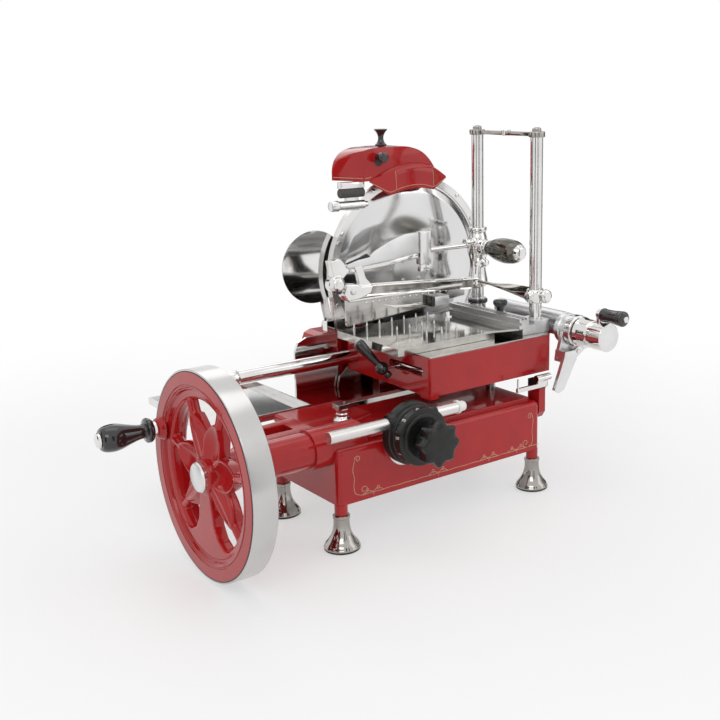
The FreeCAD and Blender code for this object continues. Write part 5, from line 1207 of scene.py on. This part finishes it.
def feed():
    """The feed drum with its graduated ring, groove and shaft, and the rim of its case."""
    low, high = box("feed_drum")
    spot = middle("feed_drum")
    face = low.y
    ring = radius_of("feed_drum", "x")
    drum = ring - 2.5
    ring_front = face + 58
    case = box("feed_housing")[0].y
    ring_back = case - 1.6
    body = by_step(face, drum, (0, -0.6), (0.6, 0), (21, 0), (21.6, -1.2), (28, -1.6), (30, -0.6),
                   (33, -0.2))
    body += [(ring_front - 14, drum - 0.2)]
    body += by_step(ring_front, ring, (-11, -2.2), (-6, -0.9), (-5.2, -2.4), (-2.2, -2.4), (-1.8, -1.0),
                    (0, -0.4), (0.4, 0)) + [(ring_back, ring)]
    piece("feed_drum_skin", turned("Y", spot, body, 128), CHROME, "feed_screw", ("feed_drum",), sharp=30)
    disc = [(face - 0.12, 0.1), (face - 0.12, drum - 1.6), (face + 0.3, drum - 1.1)]
    piece("feed_drum_face", turned("Y", spot, disc, 96), SATIN, "feed_screw", slot="brushed")
    groove = by_step(ring_front, ring, (-5.1, -2.5), (-5.1, -2.2), (-2.3, -2.2), (-2.3, -2.5))
    piece("feed_groove", hoop("Y", spot, groove, 96), BLACK_INK_AND_PAINTED_SHADE, "feed_screw")
    piece("feed_shaft", turned("Y", spot, [(face + 60, 6.0), (high.y, 6.0)], 40), SATIN, "feed_screw")
    marks = []
    count = 50
    length = ring_back - ring_front - 1.0
    for step in range(count):
        angle = math.tau * step / count
        out = Vector((math.cos(angle), 0, math.sin(angle)))
        base = Vector((spot.x, 0, spot.z)) + out * (ring + 0.02)
        reach = length if step % 5 == 0 else length * 0.6
        ends = [base + Vector((0, along, 0)) for along in (ring_front + 0.8, ring_front + 0.8 + reach)]
        marks.append(stripe(ends, out, 0.55, 0.12))
    piece("feed_ticks", joined(*marks), BLACK_INK_AND_PAINTED_SHADE, "feed_screw")
    rim = by_step(case, 0, (10, 22.2), (10.8, 22.9), (17, 22.9), (18, 21.6), (18, 14), (10, 14))
    piece("feed_case_rim", hoop("Y", spot, rim, 96), SATIN, "carriage")


def feed_crank():
    """The feed's arm with its eye and nut, and the grip."""
    low, high = box("feed_crank")
    spot = middle("feed_drum")
    grip = middle("feed_grip")
    back = high.y
    outline = by_step(spot.x, spot.z + 17, (-6, 0), (6, 0))
    outline += by_step(spot.x, grip.z, (6.4, -2), (5, 4.6), (0, 7.4), (-5, 4.6), (-6.4, -2))
    arm = softened(slab("Y", outline, (back - 7, back)), 1.4, 3)
    eye = by_step(back, 0, (-9, 3.4), (-8.4, 6.0), (-7, 6.6), (0, 6.8), (1.6, 5.6), (2.2, 2))
    whole = joined(arm, turned("Y", grip, eye, 40))
    piece("feed_arm", whole, CHROME, "feed_screw", ("feed_crank",), sharp=35)
    turns = [math.tau * step / 6 for step in range(6)]
    hexagon = [(grip.x + 4.8 * math.cos(turn), grip.z + 4.8 * math.sin(turn)) for turn in turns]
    nut = softened(slab("Y", hexagon, (low.y, low.y + 3.6)), 0.5, 2)
    piece("feed_grip_nut", nut, CHROME, "feed_screw")
    low, high = box("feed_grip")
    shape = [(0, 0.70), (0.03, 0.92), (0.08, 1.0), (0.16, 0.98), (0.20, 0.90), (0.24, 0.95), (0.50, 0.86),
             (0.80, 0.84), (0.93, 0.90), (0.98, 0.86), (1.0, 0.72)]
    profile = swelling(low.y, high.y - low.y, radius_of("feed_grip"), shape, 4)
    piece("feed_grip_skin", turned("Y", grip, profile, 56), BLACK, "feed_handle", ("feed_grip",), sharp=45)


def ratchet():
    """The chrome pawl link with its screws on the ratchet lever."""
    spot = middle("feed_drum")
    plane = box("ratchet_lever")[0].y + 6
    eye = (spot.x - 13, spot.z - 38)
    knee = (spot.x + 14, spot.z - 23)
    outline = by_step(*eye, (-3, 5), (2, -6), (7, -5)) + by_step(*knee, (4, -5), (5, 3), (-2, 6))
    parts = [softened(slab("Y", outline, (plane - 0.6, plane + 4)), 1.2, 3)]
    for x, z, size in ((*eye, 4.4), (*knee, 6.2), (eye[0] + 13, eye[1] + 7.5, 3.4)):
        head = by_share(plane, size, (-3.4, 0.5), (-2.8, 0.9), (-1.4, 1), (0, 1))
        parts.append(turned("Y", (x, 0, z), head, 32))
    piece("ratchet_link", joined(*parts), CHROME, "ratchet", sharp=40)


# ---------------------------------------------------------------- rail, lever and guide tube


def rail_and_tube():
    """The turned pillar of the rail, and the guide tube's end."""
    low, high = box("rail_pillar")
    shape = [(0, 1.0), (0.12, 1.0), (0.18, 0.94), (0.32, 0.70), (0.42, 0.62), (0.52, 0.70), (0.60, 0.72),
             (0.68, 0.66), (0.78, 0.68), (0.90, 0.76), (1.0, 0.76)]
    profile = swelling(low.z, high.z - low.z, radius_of("rail_pillar", "x"), shape, 4)
    pillar = turned("Z", middle("rail_pillar"), profile, 64)
    piece("pillar_skin", pillar, CHROME, "frame", ("rail_pillar",), sharp=40)
    left = box("guide_tube")[0].x
    radius = radius_of("guide_tube")
    end = by_share(left, radius, (0, 0.30), (0.3, 0.62), (3.0, 0.66), (3.4, 0.98))
    end += by_step(left, radius, (4.2, 0.25), (16, 0.25), (16.6, 0))
    piece("tube_end", turned("X", middle("guide_tube"), end, 64), CHROME, "frame")


def aimed(mesh, start, end):
    """Lays a mesh that was built up the Z axis from zero along the line from start to end."""
    turn = (end - start).to_track_quat("Z", "Y").to_matrix().to_4x4()
    bmesh.ops.transform(mesh, matrix=Matrix.Translation(start) @ turn, verts=mesh.verts)
    return mesh


def release_lever():
    """The leaning lever: its cone, the ball with a stub round its pivot, and the pin."""
    hub_low, hub_high = box("lever_hub")
    hub = middle("lever_hub")
    low, high = box("lever_grip")
    pivot = Vector((hub_low.x + 8, hub.y, hub.z))
    far = Vector((low.x + 7.0, high.y - 7.5, high.z - 5.4))
    near = pivot + (far - pivot).normalized() * 7
    shape = [(0.02, 4.6), (0.14, 5.0), (0.35, 6.0), (0.62, 7.2), (0.84, 8.1), (0.93, 8.0), (0.985, 6.4),
             (1.0, 0.4)]
    cone = aimed(turned("Z", (0, 0, 0), swelling(0, (far - near).length, 1, shape, 5), 56), near, far)
    piece("lever_cone", cone, BLACK, "release_lever", ("lever_grip",), sharp=50)
    big = 9.4
    ball = by_step(-big, 0, (-6.5, 0.1), (-6.5, 4.4), (-5.5, 5.2), (-1.5, 5.4)) + [(-big * 0.94, 4.4)]
    for step in range(2, 11):
        angle = math.pi * step / 12
        ball.append((-big * math.cos(angle), big * math.sin(angle)))
    ball += [(big * 0.94, 4.6), (big * 0.96, 0.1)]
    stub = aimed(turned("Z", (0, 0, 0), ball, 48), pivot, far)
    piece("lever_ball", stub, BLACK, "release_lever", ("lever_hub",), sharp=40)
    pin = by_step(pivot.x, 0, (6, 3.2), (9.2, 3.4), (9.4, 3.0)) + by_step(hub_high.x, 0, (0, 3.0), (0, 0.1))
    piece("lever_pin", turned("X", hub, pin, 40), CHROME, "release_lever")


# ---------------------------------------------------------------- painted lines on the base


def curl(centre, start_angle, turns, radius):
    """A scroll that winds in to its middle."""
    shrink = 0.25
    points = []
    steps = int(26 * abs(turns))
    for step in range(steps + 1):
        share = step / steps
        angle = start_angle + math.tau * turns * share
        size = radius * (1 - (1 - shrink) * share)
        points.append((centre[0] + size * math.cos(angle), centre[1] + size * math.sin(angle)))
    return points


def scroll_lines():
    """The pinstripes on the base's front: a frame line with waves and curls."""
    face = box("base_casting")[0].y + 0.42
    left, right = 16, 324
    bottom = 67
    down = -math.pi / 2
    paths = [
        by_step(left, 0, (1, 116), (-2, 104), (0, 92), (-1, 80), (2, 71), (12, bottom)),
        curl((left + 5.5, 117), math.pi, -1.25, 4.6),
        curl((left + 14, 74), down, 1.1, 6.4),
    ]
    for x in range(left + 12, right - 14, 28):
        paths.append(by_step(x, bottom, (0, 0), (14, 0.6), (28, 0)))
    for spot in (44, 150, 240, 292):
        paths.append(by_step(spot, bottom, (-16, 0.6), (-8, 4.2), (0, 1.4), (8, 4.6), (16, 0.8)))
        paths.append(curl((spot - 9, bottom + 5.4), down, 1.0, 2.8))
        paths.append(curl((spot + 9, bottom + 5.6), down, -1.0, 2.8))
        paths.append(by_step(spot, bottom, (0, 1.4), (1.2, -1.2), (0, -3.2)))
    rise = by_step(right, bottom, (-12, 0), (-3, 2.5), (0, 10))
    paths.append(rise + by_step(right, 0, (-1.5, 90), (0.5, 104), (-1, 113)))
    paths.append(curl((right - 6, 113), 0, 1.25, 4.8))
    paths.append(curl((right - 14, 74), down, -1.1, 6.0))
    marks = [stripe(eased([(x, face, z) for x, z in path], 5), FORWARD, 0.85, 0.1) for path in paths]
    piece("base_scroll", joined(*marks), CREAM, "frame")


PARTS = (
    wheel, tyre, crank, feet, hood, sharpener_knobs, sharpener_stone, blade, screws, dish, dial_case,
    dial_ring, dial_knob, post_bar, table_fittings, clamp_castings, clamp_strap, clamp_lower_arm,
    clamp_upper_arm, clamp_pivot, press, clamp_knobs, feed, feed_crank, ratchet, rail_and_tube,
    release_lever, scroll_lines,
)
for build in PARTS:
    build()


# ---------------------------------------------------------------- camera, lamps and floor

# angles in degrees, lengths in millimetres, shifts in shares of the picture's width
CAMERA_YAW = -39.291
CAMERA_PITCH = 12.487
CAMERA_ROLL = -0.352
CAMERA_PLACE = (-673.443, -1070.397, 571.555)
CAMERA_SENSOR = 36
CAMERA_LENS = 52.70
CAMERA_SHIFT = (-0.1437, -0.0513)

SKY_STRENGTH = 0.8
FLOOR_RADIUS = 9
FLOOR_NEAR_WHITE = 0.45
AIM = (0.1, 0.1, 0.2)
# each lamp's place, then its width and height, all in metres, and its watts
LAMPS = {
    "key": ((-1.6, -1.9, 2.2), (1.6, 1.2), 13),
    "fill": ((1.9, -1.6, 1.4), (1.0, 1.6), 4),
    "top": ((0.2, 0.3, 2.4), (1.8, 1.2), 5),
    "back": ((0.6, 2.2, 1.6), (1.8, 1.0), 4),
}
# dark cards round the object: azimuth in degrees, then distance, width and both edges' heights in metres
CARDS = (
    (-148, 1.30, 0.34, 0.0, 0.80),
    (-100, 1.20, 0.16, 0.0, 0.90),
    (-84, 1.25, 0.12, 0.0, 0.80),
    (-16, 1.20, 0.16, 0.0, 0.80),
    (56, 1.25, 0.60, 0.46, 0.53),
    (54, 1.25, 0.60, 0.58, 0.68),
    (2, 1.20, 0.40, 0.0, 0.90),
    (28, 1.20, 0.26, 0.0, 0.90),
    (92, 1.20, 0.40, 0.0, 0.90),
    (150, 1.30, 0.40, 0.0, 0.80),
)
CARD = finish("dark_card", (0.03, 0.03, 0.03), (0.04, 0.04, 0.04), rough=(0.8, 0.9), mottle=2, edge=0.1)


def camera():
    """Sets the camera that the photo was solved for."""
    yaw = math.radians(CAMERA_YAW)
    pitch = math.radians(CAMERA_PITCH)
    roll = math.radians(CAMERA_ROLL)
    back = Vector((math.sin(yaw) * math.cos(pitch), -math.cos(yaw) * math.cos(pitch), math.sin(pitch)))
    right = Vector((math.cos(yaw), math.sin(yaw), 0))
    up = back.cross(right)
    across = right * math.cos(roll) + up * math.sin(roll)
    upward = up * math.cos(roll) - right * math.sin(roll)
    data = bpy.data.cameras.new("camera")
    data.sensor_width = CAMERA_SENSOR
    data.lens = CAMERA_LENS
    data.shift_x, data.shift_y = CAMERA_SHIFT
    made = placed("camera", data)
    rows = [(across[i], upward[i], back[i], CAMERA_PLACE[i] * MM) for i in range(3)]
    made.matrix_world = Matrix(rows + [(0, 0, 0, 1)])
    bpy.context.scene.camera = made


def faced(made, place, aim):
    """Puts an object at a place and turns its front to another."""
    made.location = place
    made.rotation_euler = (Vector(aim) - Vector(place)).to_track_quat("-Z", "Y").to_euler()


def lamp(name, place, size, watts):
    data = bpy.data.lights.new(name, "AREA")
    data.shape = "RECTANGLE"
    data.size, data.size_y = size
    data.energy = watts
    faced(placed(name, data), place, AIM)


def card(name, place, aim, size):
    """A dark studio card that only shows as a reflection."""
    mesh = bmesh.new()
    bmesh.ops.create_grid(mesh, x_segments=1, y_segments=1, size=0.5)
    made = placed(name, mesh_data(name, mesh))
    faced(made, place, aim)
    made.scale = (*size, 1)
    made.data.materials.append(CARD)
    made.visible_camera = False
    made.visible_shadow = False
    made.visible_diffuse = False
    made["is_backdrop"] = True


def seen_rays(tree):
    """One for rays that the camera, gloss or glass sees, and zero for the rest."""
    path = node_of(tree, "ShaderNodeLightPath")
    seen = node_of(tree, "ShaderNodeMath", operation="MAXIMUM")
    glass = node_of(tree, "ShaderNodeMath", operation="MAXIMUM")
    tree.links.new(path.outputs["Is Camera Ray"], seen.inputs[0])
    tree.links.new(path.outputs["Is Glossy Ray"], seen.inputs[1])
    tree.links.new(seen.outputs[0], glass.inputs[0])
    tree.links.new(path.outputs["Is Transmission Ray"], glass.inputs[1])
    return glass.outputs[0]


def whitened(tree, output, share, plain, white):
    """Mixes plain shading with white by a share, into an output."""
    mix = node_of(tree, "ShaderNodeMixShader")
    for number, source in enumerate((share, plain, white.outputs[0])):
        tree.links.new(source, mix.inputs[number])
    tree.links.new(mix.outputs[0], output.inputs["Surface"])


def sky():
    """Lights the scene softly, and shows as plain white."""
    world = bpy.data.worlds.new("studio")
    world.use_nodes = True
    tree = world.node_tree
    plain = tree.nodes["Background"]
    plain.inputs["Color"].default_value = (1, 1, 1, 1)
    plain.inputs["Strength"].default_value = SKY_STRENGTH
    white = node_of(tree, "ShaderNodeBackground", Strength=1.0, Color=(1, 1, 1, 1))
    whitened(tree, tree.nodes["World Output"], seen_rays(tree), plain.outputs[0], white)
    bpy.context.scene.world = world


def floor():
    """A pale floor that turns white away from the object."""
    mesh = bmesh.new()
    bmesh.ops.create_circle(mesh, cap_ends=True, segments=96, radius=FLOOR_RADIUS)
    made = placed("floor", mesh_data("floor", mesh))
    made.location = (AIM[0], AIM[1], cad_low.z - 0.0002)
    pale = finish("floor", (0.90, 0.90, 0.90), (0.88, 0.88, 0.88), rough=(0.5, 0.6), mottle=4, edge=0.1)
    tree = pale.node_tree
    output = tree.nodes["Material Output"]
    plain = output.inputs["Surface"].links[0].from_socket
    place = node_of(tree, "ShaderNodeTexCoord")
    reach = node_of(tree, "ShaderNodeVectorMath", operation="LENGTH")
    tree.links.new(place.outputs["Object"], reach.inputs[0])
    fade = ranged(tree, reach.outputs["Value"], FLOOR_NEAR_WHITE, 1.0, 0.35, 1.3,
                  interpolation_type="SMOOTHSTEP")
    share = node_of(tree, "ShaderNodeMath", operation="MULTIPLY")
    tree.links.new(seen_rays(tree), share.inputs[0])
    tree.links.new(fade, share.inputs[1])
    white = node_of(tree, "ShaderNodeEmission", Strength=1.0)
    whitened(tree, output, share.outputs[0], plain, white)
    made.data.materials.append(pale)
    made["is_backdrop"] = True


camera()
sky()
floor()
for name, settings in LAMPS.items():
    lamp(name, *settings)
for number, (azimuth, reach, width, low, high) in enumerate(CARDS):
    turn = math.radians(azimuth)
    place = (AIM[0] + reach * math.cos(turn), AIM[1] + reach * math.sin(turn), (low + high) / 2)
    card(f"card_{number + 1}", place, (AIM[0], AIM[1], place[2]), (width, high - low))
bpy.context.scene.view_settings.view_transform = "Standard"

low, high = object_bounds()
{"cad": [list(cad_low), list(cad_high)], "visual": [list(low), list(high)]}
